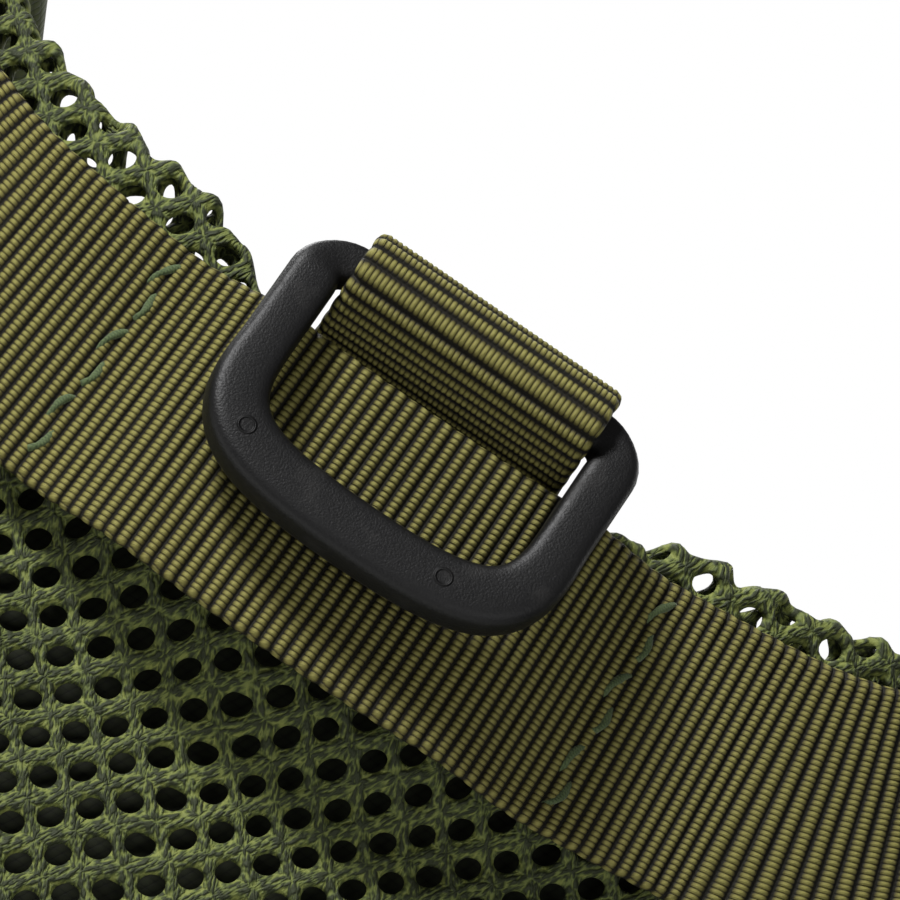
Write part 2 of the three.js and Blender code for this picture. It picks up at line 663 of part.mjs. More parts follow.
function addToolRings() {
  const bevel = TOOL_RING_BEVEL;
  const innerRadius = Math.hypot(TOOL_RING_STOCK / 2, TOOL_RING_STOCK / 2 - bevel) + BAR_CLEARANCE;
  const standoff = innerRadius + WEBBING_THICKNESS + TOOL_LOOP_CLEARANCE;
  for (const [name, side] of [["left", 1], ["right", -1]]) {
    // The loop stands out below its tab: the frame is turned over, so that up is down the panel.
    const frame = frameOn(side * TOOL_RING_X, TOOL_RING_Z, false, MESH_OUTSIDE + LAYER_GAP);
    const turned = frame.multiply(new THREE.Matrix4().makeRotationY(Math.PI));
    const route = loopRoute(innerRadius, TOOL_LOOP_RISE, TOOL_LOOP_TAIL, standoff);
    addPiece("tool_ring_tab_" + name, webbingLoop(route, TOOL_WEBBING_WIDTH), finishes.webbing, turned);
    const ring = hangingRing({
      width: TOOL_RING_WIDTH, depth: TOOL_RING_DEPTH, arm: TOOL_RING_STOCK, base: TOOL_RING_STOCK,
      bar: TOOL_RING_STOCK, thickness: TOOL_RING_STOCK, barThickness: TOOL_BAR_THICKNESS, bevel,
      topCorner: TOOL_RING_CORNER,
    });
    const flip = new THREE.Matrix4().makeRotationY(Math.PI).setPosition(0, route.centreY, route.centreZ);
    addPiece("tool_ring_" + name, ring, finishes.moulding, turned.clone().multiply(flip));
  }
}

// ---- Front zip ----

const ZIP_Y = -FRONT_DEPTH + ZIP_SETBACK;
const ZIP_TOP_Z = CHEST_Z - ZIP_TOP_GAP;
const ZIP_LENGTH = ZIP_TOP_Z - HEM_Z;
const ROW_INNER = ZIP_ROW_GAP / 2;
const ROW_OUTER = ROW_INNER + ZIP_ROW_WIDTH;

function addFrontZip() {
  for (const [name, side] of [["left", 1], ["right", -1]]) {
    const tapeX = side * (ROW_OUTER + LAYER_GAP + ZIP_TAPE_WIDTH / 2);
    const tape = (offset) => (u, v) => {
      const x = tapeX + side * ZIP_TAPE_WIDTH * (u - 0.5);
      return place(x, lerp(HEM_Z, ZIP_TOP_Z, v), false, offset);
    };
    const sheet = slab(3, 1, tape(-LAYER_GAP), tape(-LAYER_GAP - ZIP_TAPE_THICKNESS));
    addPiece("zip_tape_" + name, sheet, finishes.binding);
    const rowLength = ZIP_LENGTH - STOP_HEIGHT - BOX_HEIGHT - 2 * LAYER_GAP;
    const rowX = (side * (ROW_INNER + ROW_OUTER)) / 2;
    const rowZ = HEM_Z + BOX_HEIGHT + LAYER_GAP + rowLength / 2;
    const row = box(ZIP_ROW_WIDTH, ZIP_ROW_HEIGHT, rowLength, rowX, ZIP_Y, rowZ);
    addPiece("zip_teeth_" + name, row, finishes.moulding);
    const stopZ = ZIP_TOP_Z - STOP_HEIGHT / 2;
    const stop = box(ZIP_ROW_WIDTH, ZIP_ROW_HEIGHT + STOP_EXTRA, STOP_HEIGHT, rowX, ZIP_Y, stopZ);
    addPiece("zip_top_stop_" + name, stop, finishes.moulding);
  }
  const boxWidth = ZIP_ROW_WIDTH + ZIP_ROW_GAP / 2 - LAYER_GAP;
  const boxX = -(LAYER_GAP + boxWidth / 2);
  const boxZ = HEM_Z + BOX_HEIGHT / 2;
  const retainer = box(boxWidth, BOX_THICKNESS, BOX_HEIGHT, boxX, ZIP_Y, boxZ);
  addPiece("zip_retainer_box", retainer, finishes.moulding);
  const pin = box(boxWidth - PIN_CLEARANCE, PIN_THICKNESS, BOX_HEIGHT, -boxX, ZIP_Y, boxZ);
  addPiece("zip_insertion_pin", pin, finishes.moulding);
}

function addSlider() {
  const reach = ZIP_ROW_HEIGHT / 2 + SLIDER_CLEARANCE;
  const plateY = reach + SLIDER_PLATE / 2;
  const post = ZIP_ROW_GAP - 2 * SLIDER_CLEARANCE;
  const crownY = reach + SLIDER_PLATE + CROWN_HEIGHT / 2;
  const pinY = reach + SLIDER_PLATE + EYE_HEIGHT;
  const crown = box(CROWN_WIDTH, CROWN_HEIGHT, CROWN_LENGTH, 0, crownY - MERGE, 0);
  const eye = box(2 * CROWN_WIDTH, PIN_EYE, PIN_EYE, 0, pinY, -EYE_DROP);
  const body = joinAll(
    box(SLIDER_WIDTH, SLIDER_PLATE, SLIDER_LENGTH, 0, plateY, 0),
    box(SLIDER_WIDTH, SLIDER_PLATE, SLIDER_LENGTH, 0, -plateY, 0),
    box(post, 2 * (reach + MERGE), POST_LENGTH, 0, 0, (SLIDER_LENGTH - POST_LENGTH) / 2),
    crown,
  );
  const sliderZ = ZIP_TOP_Z - STOP_HEIGHT - LAYER_GAP - SLIDER_LENGTH / 2;
  const facing = new THREE.Matrix4().makeRotationZ(Math.PI).setPosition(0, ZIP_Y, sliderZ);
  addPiece("zip_slider", cutAway(body, eye), finishes.moulding, facing);
  const window = PULL_WIDTH - 2 * PULL_SIDE;
  const pull = joinAll(
    cutAway(
      box(PULL_WIDTH, PULL_THICKNESS, PULL_LENGTH, 0, 0, PULL_TOP - PULL_LENGTH / 2),
      box(window, 2 * PULL_THICKNESS, PULL_WINDOW_HEIGHT, 0, 0, PULL_TOP - PULL_WINDOW_HEIGHT / 2),
    ),
    rod(PULL_PIN / 2, PULL_WIDTH - PULL_SIDE),
  );
  const hinge = new THREE.Matrix4().makeTranslation(0, pinY, -EYE_DROP);
  addPiece("zip_pull", pull, finishes.moulding, facing.clone().multiply(hinge));
}

// ---- Pockets ----

const POCKET_ROWS = 8;
const POCKET_OPEN = 8;

// A pouch with an open top. Its back follows the panel and its front is flat.
function pouch({ width, height, depth }, frame, isBack) {
  const seat = MESH_OUTSIDE + LAYER_GAP;
  const cols = Math.max(6, Math.round(width / POCKET_COLUMN));
  const layer = (inset, top) => (out) => (u, v) => {
    const x = lerp(-width / 2 + inset, width / 2 - inset, u);
    const z = lerp(-height + inset, top, v);
    const flat = new THREE.Vector3(x, 0, z).applyMatrix4(frame);
    if (out === null) return place(flat.x, flat.z, isBack, seat + inset);
    const edge = Math.min(1, ((1 - Math.abs(2 * u - 1)) * width) / (2 * POCKET_BEVEL_HEIGHT));
    const crease = Math.min(1, (v * (height + top)) / POCKET_BEVEL_HEIGHT);
    const back = POCKET_BEVEL * (1 - Math.min(edge, crease));
    return new THREE.Vector3(x, out - inset - back, z).applyMatrix4(frame);
  };
  const whole = layer(0, 0);
  const hollow = layer(POCKET_WALL, POCKET_OPEN);
  const outside = slab(cols, POCKET_ROWS, whole(depth), whole(null));
  const inside = slab(cols, POCKET_ROWS, hollow(depth), hollow(null));
  return cutAway(outside, inside);
}

// A flap: a top that leaves the panel, and a front that hangs over the pouch. Its hinge is its origin.
function flap({ width, depth, drop }) {
  const front = depth + LAYER_GAP;
  const outline = new THREE.Shape();
  outline.moveTo(-FLAP_ROOT, FLAP_THICKNESS);
  outline.lineTo(-FLAP_ROOT, 0);
  outline.lineTo(front, -FLAP_OVERLAP);
  outline.lineTo(front, -drop);
  outline.lineTo(front + FLAP_THICKNESS, -drop);
  outline.lineTo(front + FLAP_THICKNESS, -FLAP_OVERLAP + FLAP_THICKNESS);
  outline.closePath();
  const wide = width + 2 * FLAP_SIDE_OVERLAP;
  const body = new THREE.ExtrudeGeometry(outline, { depth: wide, bevelEnabled: false, steps: 1 });
  const toFrame = new THREE.Matrix4().makeBasis(
    new THREE.Vector3(0, 1, 0), new THREE.Vector3(0, 0, 1), new THREE.Vector3(1, 0, 0),
  );
  return body.applyMatrix4(toFrame).translate(-wide / 2, 0, 0);
}

function addPockets() {
  for (const pocket of [CHEST_POCKET, LOWER_POCKET])
    for (const [name, side] of [["left", 1], ["right", -1]]) {
      const seat = MESH_OUTSIDE + LAYER_GAP;
      const frame = frameOn(side * pocket.x, pocket.top, false, seat, true);
      addPiece(pocket.name + "_" + name, pouch(pocket, frame, false), finishes.cloth);
      const rise = FLAP_OVERLAP + LAYER_GAP;
      const hinge = frame.clone().multiply(new THREE.Matrix4().makeTranslation(0, FLAP_HINGE_Y, rise));
      const flapName = pocket.name.replace("pocket", "flap") + "_" + name;
      addPiece(flapName, flap(pocket), finishes.cloth, hinge);
    }
  const frame = frameOn(REAR_POUCH.x, REAR_POUCH.top, true, MESH_OUTSIDE + LAYER_GAP, true);
  addPiece(REAR_POUCH.name, pouch(REAR_POUCH, frame, true), finishes.cloth);
}

// ---- Fly patch ----

function addFlyPatch() {
  const frame = frameOn(PATCH_X, PATCH_Z, false, MESH_OUTSIDE + LAYER_GAP);
  const surface = (isFront) => (u, v) => {
    const x = (u - 0.5) * PATCH_WIDTH;
    const z = (v - 0.5) * PATCH_HEIGHT;
    const flat = new THREE.Vector3(x, PATCH_THICKNESS, z).applyMatrix4(frame);
    if (isFront) return flat;
    return place(flat.x, flat.z, false, MESH_OUTSIDE + LAYER_GAP);
  };
  addPiece("fly_patch", slab(6, 4, surface(true), surface(false)), finishes.fleece);
}

// ---- Side straps ----

const BUCKLE_RISE = WEBBING_THICKNESS + LAYER_GAP + BUCKLE_THICKNESS / 2 + BUCKLE_CLEARANCE;
const SIDE_SAG = 0.4;
const SIDE_SEAT = MESH_OUTSIDE + LAYER_GAP;
const SIDE_LEVEL = SIDE_STRAP_Z - CHEST_Z;
const STRAP_STEP = 9;
const BEND_STEPS = 8;
const TAIL_STEPS = 5;
const TAIL_SETTLES = 0.6;
const RUN_OUT = 2;
const FRONT_RETURN_DROP = 0.8;

// A point at the vest's side: its distance behind the middle of the side, and its height off the panel.
function sidePoint(side, back, height, z) {
  const isBack = back > 0;
  const depth = depthAt(isBack, SIDE_STRAP_Z);
  const turn = Math.acos(signedPower(back / depth, SIDE_ROUNDNESS / 2));
  const point = offBody(side * turn, SIDE_LEVEL, SIDE_SEAT + height);
  point.z += z;
  return point;
}

// A strap's run along the panel, round a rail of the buckle and back over itself.
function sideStrapRoute(direction, far, railAt, tail, returnDrop) {
  const half = WEBBING_THICKNESS / 2;
  const radius = BUCKLE_RISE - half;
  const route = [];
  const steps = Math.ceil((far - railAt * direction) / STRAP_STEP);
  const add = (back, height) => route.push(new THREE.Vector2(back, height));
  for (let k = 0; k <= steps; k++) add(lerp(direction * far, railAt, k / steps), half);
  for (let k = 1; k < BEND_STEPS; k++) {
    const angle = (Math.PI * k) / BEND_STEPS;
    add(railAt - direction * radius * Math.sin(angle), BUCKLE_RISE - radius * Math.cos(angle));
  }
  const top = BUCKLE_RISE + radius;
  const rest = WEBBING_THICKNESS + LAYER_GAP + half;
  const runOut = direction * (BUCKLE_LENGTH / 2 + RUN_OUT);
  add(railAt, top);
  add(runOut, top - returnDrop);
  for (let k = 1; k <= TAIL_STEPS; k++) {
    const share = k / TAIL_STEPS;
    const settled = THREE.MathUtils.smoothstep(share, 0, TAIL_SETTLES);
    add(runOut + direction * tail * share, lerp(top - returnDrop, rest, settled));
  }
  return route;
}

function sideStrap(side, route) {
  const half = WEBBING_THICKNESS / 2;
  const rings = route.map((point, k) => {
    const before = route[Math.max(0, k - 1)];
    const after = route[Math.min(route.length - 1, k + 1)];
    const along = after.clone().sub(before).normalize();
    const corner = (out, z) => sidePoint(side, point.x - along.y * out, point.y + along.x * out, z);
    const reach = WEBBING_WIDTH / 2;
    return [corner(-half, -reach), corner(half, -reach), corner(half, reach), corner(-half, reach)];
  });
  return sweep(rings, false);
}

function addSideStraps() {
  const slotAt = (BUCKLE_LENGTH - 2 * BUCKLE_RAIL - BUCKLE_SLOT) / 2;
  const slot = (z) => box(WEBBING_WIDTH + SLOT_CLEARANCE, 2 * BUCKLE_THICKNESS, BUCKLE_SLOT, 0, 0, z);
  const plate = box(BUCKLE_HEIGHT, BUCKLE_THICKNESS, BUCKLE_LENGTH);
  const frontRail = BUCKLE_LENGTH / 2 - BUCKLE_RAIL / 2;
  const middleRail = slotAt - BUCKLE_SLOT / 2 - BUCKLE_RAIL / 2;
  for (const [name, side] of [["left", 1], ["right", -1]]) {
    const seat = sidePoint(side, 0, BUCKLE_RISE - SIDE_SAG, 0);
    const out = new THREE.Vector3(side, 0, 0);
    const back = new THREE.Vector3(0, 1, 0);
    const frame = new THREE.Matrix4().makeBasis(out.clone().cross(back), out, back).setPosition(seat);
    const buckle = cutAway(plate, slot(slotAt), slot(-slotAt));
    addPiece("side_buckle_" + name, buckle, finishes.moulding, frame);
    const frontRoute = sideStrapRoute(-1, SIDE_STRAP_REACH, -frontRail, SIDE_FRONT_TAIL, FRONT_RETURN_DROP);
    addPiece("front_side_strap_" + name, sideStrap(side, frontRoute), finishes.webbing);
    const backRoute = sideStrapRoute(1, SIDE_STRAP_REACH, -middleRail, SIDE_BACK_TAIL, 0);
    addPiece("back_side_strap_" + name, sideStrap(side, backRoute), finishes.webbing);
  }
}

addPanels();
addLining();
addBindings();
addYokes();
addNeckStrap();
addNetRing();
addToolRings();
addFrontZip();
addSlider();
addPockets();
addFlyPatch();
addSideStraps();

export default vest;
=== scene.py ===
"""A mesh fishing vest, dressed in fabric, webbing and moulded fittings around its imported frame.

Lengths are in metres. The wearer faces -Y, +X is the wearer's left and +Z is up. The origin is the middle
of the neck opening, level with the lowest point of the back neck edge.
"""

from __future__ import annotations

import logging
import math
from dataclasses import dataclass, field
from enum import Enum
from typing import Any, Callable, Sequence

import bmesh
import bpy
import numpy as np
from mathutils import Matrix, Vector


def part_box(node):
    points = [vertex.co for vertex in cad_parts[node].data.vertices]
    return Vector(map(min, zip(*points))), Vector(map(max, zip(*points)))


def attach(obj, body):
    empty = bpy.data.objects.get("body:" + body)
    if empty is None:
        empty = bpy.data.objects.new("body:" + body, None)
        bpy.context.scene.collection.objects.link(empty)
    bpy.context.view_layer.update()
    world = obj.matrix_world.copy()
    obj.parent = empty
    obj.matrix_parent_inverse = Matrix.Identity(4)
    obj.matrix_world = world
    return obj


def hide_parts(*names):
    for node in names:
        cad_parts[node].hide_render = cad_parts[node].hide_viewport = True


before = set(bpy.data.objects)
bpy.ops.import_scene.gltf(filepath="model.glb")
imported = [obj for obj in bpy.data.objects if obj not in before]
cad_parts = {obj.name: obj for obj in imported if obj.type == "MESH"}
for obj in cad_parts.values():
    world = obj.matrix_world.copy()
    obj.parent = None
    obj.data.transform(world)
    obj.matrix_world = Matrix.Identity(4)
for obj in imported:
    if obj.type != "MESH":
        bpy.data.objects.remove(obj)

MM = 0.001
DEGREE = math.pi / 180
Array = np.ndarray
SurfaceMap = Callable[[Array, Array, Array], Array]
log = logging.getLogger("fishing_vest")


# ---- Numbers ----


def signed_power(value: Array, power: float) -> Array:
    """The value's size to a power, with its own sign."""
    return np.sign(value) * np.abs(value) ** power


def smoothstep(value: Array, low: float = 0.0, high: float = 1.0) -> Array:
    """A smooth climb from 0 at low to 1 at high."""
    share = np.clip((value - low) / (high - low), 0, 1)
    return share * share * (3 - 2 * share)


def lerp(first: Any, second: Any, share: Any) -> Any:
    """The value at a share of the way from first to second."""
    return first + (second - first) * share


def unit(vectors: Array) -> Array:
    """Rows scaled to length 1."""
    return vectors / np.maximum(np.linalg.norm(vectors, axis=-1, keepdims=True), 1e-12)


def dome(phase: Array) -> Array:
    """A round ridge once in each whole number: 0 in the groove and 1 on the crown."""
    return np.sqrt(np.clip(1 - (2 * (phase % 1) - 1) ** 2, 0, 1))


# ---- The wearer's shape ----


class Side(Enum):
    """Which of the vest's three panels a piece lies on."""

    BACK = 0
    LEFT = 1
    RIGHT = -1

    @property
    def sign(self) -> int:
        """+1 on the wearer's left and -1 on the right."""
        return -1 if self is Side.RIGHT else 1

    @property
    def word(self) -> str:
        """The side's name in a piece's name."""
        return self.name.lower()


@dataclass(frozen=True)
class WearerShape:
    """The rounded body that the vest is drawn on, and the lines that its panels are cut to."""

    half_width: float = 235 * MM
    back_depth: float = 125 * MM
    front_depth: float = 128 * MM
    hem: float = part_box("back_panel")[0].z
    chest: float = -225 * MM
    side_roundness: float = 2.2
    shoulder_roundness: float = 2.4
    upper_back_taper: float = 18 * MM
    neck_half_width: float = 78 * MM
    neck_middle_radius: float = 413 * MM
    neck_middle_half: float = 38 * MM
    neck_rise_rate: float = 11.0
    nape_rise: float = 85 * MM
    shoulder_half_width: float = 190 * MM
    shoulder_slope: float = 0.36
    cross_half_width: float = 168 * MM
    armhole_curve_share: float = 0.4
    zip_edge: float = 7.5 * MM

    def neck_edge(self, x: Array) -> Array:
        """Height of the back neck edge at a distance from the middle."""
        beyond = np.maximum(0, np.abs(x) - self.neck_middle_half)
        return x * x / (2 * self.neck_middle_radius) + self.neck_rise_rate * beyond * beyond

    def ridge_height(self, x: Array, is_back: Array) -> Array:
        """Height of the shoulder line, and of the nape that the back would rise to inside the neck."""
        point = self.neck_edge(np.float64(self.neck_half_width))
        outside = np.abs(x) - self.neck_half_width
        nape = self.nape_rise * np.clip(1 - (x / self.neck_half_width) ** 2, 0, 1) ** 2
        return point + np.where(outside > 0, -self.shoulder_slope * outside, np.where(is_back, nape, 0))

    def depth_at(self, is_back: Array, z: Array) -> Array:
        """How far the back or the front stands from the middle of the body at a height."""
        share = np.clip((z - self.chest) / -self.chest, 0, 1.1)
        return np.where(is_back, self.back_depth - self.upper_back_taper * share * share, self.front_depth)

    def point(self, turn: Array, level: Array) -> Array:
        """Points of the body.

        Args:
            turn: 0 at the middle of the back, a quarter turn at +X and a half turn in front.
            level: metres below the chest line when negative, and 0 to 2 over the shoulder.

        Returns:
            One row of x, y and z for each turn and level.
        """
        climb = np.maximum(level, 0) * math.pi / 2
        x = self.half_width * signed_power(np.sin(turn), 2 / self.side_roundness)
        across = signed_power(np.cos(turn), 2 / self.side_roundness)
        over = signed_power(np.cos(climb), 2 / self.shoulder_roundness)
        is_back = across * over > 0
        rise = self.ridge_height(x, is_back) - self.chest
        above = self.chest + rise * np.abs(np.sin(climb)) ** (2 / self.shoulder_roundness)
        z = np.where(level < 0, self.chest + level, above)
        return np.stack([x, self.depth_at(is_back, z) * across * over, z], -1)

    def normal(self, turn: Array, level: Array) -> Array:
        """Outward directions at the points of a turn and level."""
        step = 1e-3
        along = self.point(turn + step, level) - self.point(turn - step, level)
        below = np.where(level < step, level, level - step)
        up = self.point(turn, level + step) - self.point(turn, below)
        return unit(np.cross(up, along))

    def off(self, turn: Array, level: Array, offset: Array) -> Array:
        """Points raised from the body by an offset."""
        return self.point(turn, level) + self.normal(turn, level) * np.asarray(offset)[..., None]

    def turn_at(self, x: Array) -> Array:
        """The turn of a point at a distance x from the middle plane."""
        return np.arcsin(signed_power(np.clip(x / self.half_width, -1, 1), self.side_roundness / 2))

    def level_at(self, x: Array, z: Array, is_back: bool) -> Array:
        """The level of a point at x and z."""
        rise = self.ridge_height(x, is_back) - self.chest
        share = np.clip((z - self.chest) / rise, 0, 1)
        climb = np.arcsin(share ** (self.shoulder_roundness / 2)) / (math.pi / 2)
        return np.where(z < self.chest, z - self.chest, climb)

    def place(self, x: Array, z: Array, is_back: bool, offset: Array = 0.0) -> Array:
        """Points of the back or the front at x and z, raised by an offset."""
        x, z, offset = np.broadcast_arrays(np.asarray(x, float), z, offset)
        turn = self.turn_at(x) if is_back else math.pi - self.turn_at(x)
        return self.off(turn, self.level_at(x, z, is_back), offset)

    def frame_on(self, x: float, z: float, is_back: bool, offset: float, upright: bool = False) -> Matrix:
        """A frame on the surface: X along it, Y out of it and Z up it."""
        origin = Vector(self.place(x, z, is_back, offset))
        out = Vector(self.place(x, z, is_back, offset + MM)) - origin
        if upright:
            out.z = 0
        out.normalize()
        along = out.cross(Vector((0, 0, 1))).normalized()
        up = along.cross(out)
        made = Matrix((along, out, up)).transposed().to_4x4()
        made.translation = origin
        return made

    def armhole_half_width(self, share: Array) -> Array:
        """Half the width between the armholes at a share of the way from the chest line to the shoulder."""
        curve = self.armhole_curve_share
        low = np.maximum(0, 1 - share / curve)
        high = np.maximum(0, (share - curve) / (1 - curve))
        spread = (self.half_width - self.cross_half_width) * low**2.5
        return self.cross_half_width + spread + (self.shoulder_half_width - self.cross_half_width) * high**2

    def neck_opening(self, share: Array) -> Array:
        """Half the width of the front opening at a share of the way up from the zip."""
        return lerp(self.zip_edge, self.neck_half_width, share**0.9)


BODY = WearerShape()


# ---- Meshes ----


def grid_faces(rows: int, cols: int, loop_rows: bool = False, loop_cols: bool = False) -> Array:
    """Four-sided faces over a grid of points, whose last row or column may join the first."""
    row = np.arange(rows if loop_rows else rows - 1)[:, None]
    col = np.arange(cols if loop_cols else cols - 1)[None, :]
    next_row = (row + 1) % rows
    next_col = (col + 1) % cols
    corners = [row * cols + col, row * cols + next_col, next_row * cols + next_col, next_row * cols + col]
    return np.stack(corners, -1).reshape(-1, 4)


def new_piece(
    name: str, points: Array, faces: Sequence[Array], cloth: Array | None = None
) -> bpy.types.Object:
    """Makes a smooth mesh object.

    Args:
        name: The piece's name.
        points: One row for each vertex.
        faces: Arrays of vertex numbers, each with faces of one number of corners.
        cloth: Each vertex's place along and across its fabric, in metres, for the weave.

    Returns:
        The object, linked to the scene.
    """
    points = np.asarray(points, float).reshape(-1, 3)
    mesh = bpy.data.meshes.new(name)
    mesh.vertices.add(len(points))
    mesh.vertices.foreach_set("co", points.astype(np.float32).ravel())
    corners = np.concatenate([np.asarray(part).ravel() for part in faces]).astype(np.int32)
    counts = np.concatenate([np.full(len(part), np.shape(part)[1]) for part in faces])
    mesh.loops.add(len(corners))
    mesh.loops.foreach_set("vertex_index", corners)
    mesh.polygons.add(len(counts))
    mesh.polygons.foreach_set("loop_start", (np.cumsum(counts) - counts).astype(np.int32))
    mesh.polygons.foreach_set("use_smooth", np.ones(len(counts), bool))
    if cloth is not None:
        flat = np.zeros((len(points), 3), np.float32)
        flat[:, :2] = np.asarray(cloth).reshape(-1, 2)
        mesh.attributes.new("cloth", "FLOAT_VECTOR", "POINT").data.foreach_set("vector", flat.ravel())
    mesh.update(calc_edges=True)
    mesh.validate()
    piece = bpy.data.objects.new(name, mesh)
    bpy.context.scene.collection.objects.link(piece)
    return piece


def facing_out(points: Array, faces: Sequence[Array]) -> list[Array]:
    """The faces of a closed body, turned round together if they face inwards."""
    volume = 0.0
    for part in faces:
        for k in range(1, part.shape[1] - 1):
            a, b, c = points[part[:, 0]], points[part[:, k]], points[part[:, k + 1]]
            volume += float((a * np.cross(b, c)).sum())
    return [part[:, ::-1] if volume < 0 else part for part in faces]


def swept(name: str, rings: Array, joined: bool, cloth: Array | None = None) -> bpy.types.Object:
    """A closed bar: one ring of points for each station, joined end to end or capped."""
    stations, around = rings.shape[:2]
    points = rings.reshape(-1, 3)
    faces = [grid_faces(stations, around, joined, True)]
    if not joined:
        first = np.arange(around)[None, ::-1]
        faces += [first, (stations - 1) * around + np.arange(around)[None, :]]
    return new_piece(name, points, facing_out(points, faces), cloth)


def along_line(points: Array) -> Array:
    """Each point's distance along the line from its start."""
    steps = np.linalg.norm(np.diff(points, axis=0), axis=1)
    return np.concatenate([[0], np.cumsum(steps)])


def evenly(points: Array, step: float, *others: Array) -> tuple[Array, ...]:
    """A line's points at even steps, and whatever goes with each of them."""
    length = along_line(points)
    count = max(2, int(round(length[-1] / step)) + 1)
    wanted = np.linspace(0, length[-1], count)
    return tuple(
        np.stack([np.interp(wanted, length, values[:, axis]) for axis in range(values.shape[1])], -1)
        for values in (points, *others)
    )


def dress(
    piece: bpy.types.Object, material: bpy.types.Material, body: str, *nodes: str, slot: str = ""
) -> None:
    """Gives a piece its material and its body, and hides the frame's nodes that it stands for."""
    piece.data.materials.clear()
    piece.data.materials.append(material)
    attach(piece, body)
    if nodes:
        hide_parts(*nodes)
    log.info("%s: %d faces on %s", piece.name, len(piece.data.polygons), body)


def soften(piece: bpy.types.Object, thickness: float, levels: int = 1) -> None:
    """Gives an open sheet its thickness and rounds it."""
    if thickness:
        solid = piece.modifiers.new("thickness", "SOLIDIFY")
        solid.thickness = thickness
        solid.offset = -1
    if levels:
        piece.modifiers.new("rounding", "SUBSURF").levels = levels
        piece.modifiers["rounding"].render_levels = levels


# ---- Finishes ----

Colour = tuple[float, float, float]


def colour(red: int, green: int, blue: int) -> Colour:
    """A colour given in display values, as the shader's linear one."""
    shares = np.array([red, green, blue]) / 255
    return tuple(c / 12.92 if c <= 0.04045 else ((c + 0.055) / 1.055) ** 2.4 for c in shares)


class Value:
    """A shader socket that takes part in Python's arithmetic."""

    def __init__(self, shader: "Shader", socket: bpy.types.NodeSocket) -> None:
        """Keeps the socket and the shader that it belongs to."""
        self.shader = shader
        self.socket = socket

    def _made(self, operation: str, *values: Any) -> "Value":
        """The result of a Math node on these values."""
        return self.shader.add("ShaderNodeMath", {"operation": operation}, *values).out()

    def __add__(self, other: Any) -> "Value":
        """The sum."""
        return self._made("ADD", self, other)

    __radd__ = __add__

    def __sub__(self, other: Any) -> "Value":
        """The difference."""
        return self._made("SUBTRACT", self, other)

    def __rsub__(self, other: Any) -> "Value":
        """The difference, taken from a number."""
        return self._made("SUBTRACT", other, self)

    def __mul__(self, other: Any) -> "Value":
        """The product."""
        return self._made("MULTIPLY", self, other)

    __rmul__ = __mul__

    def __truediv__(self, other: Any) -> "Value":
        """The quotient."""
        return self._made("DIVIDE", self, other)

    def power(self, exponent: float) -> "Value":
        """The value to a power."""
        return self._made("POWER", self, exponent)

    def sine(self) -> "Value":
        """The sine."""
        return self._made("SINE", self)

    def fraction(self) -> "Value":
        """What is left above the whole number."""
        return self._made("FRACT", self)

    def whole(self) -> "Value":
        """The whole number below."""
        return self._made("FLOOR", self)

    def size(self) -> "Value":
        """The value without its sign."""
        return self._made("ABSOLUTE", self)

    def root(self) -> "Value":
        """The square root of what is not below 0."""
        return self._made("SQRT", self._made("MAXIMUM", self, 0.0))

    def ridge(self) -> "Value":
        """A round ridge once in each whole number."""
        centred = self.fraction() * 2.0 - 1.0
        return (1.0 - centred * centred).root()

    def between(self, low: float, high: float) -> "Value":
        """A smooth climb from 0 at low to 1 at high."""
        settings = {"interpolation_type": "SMOOTHSTEP"}
        return self.shader.add("ShaderNodeMapRange", settings, self, low, high).out()


class Made:
    """A node that a shader has made."""

    def __init__(self, shader: "Shader", node: bpy.types.Node) -> None:
        """Keeps the node and its shader."""
        self.shader = shader
        self.node = node

    def out(self, name: str | int = 0) -> Value:
        """One of its outputs, by name or number."""
        return Value(self.shader, self.node.outputs[name])


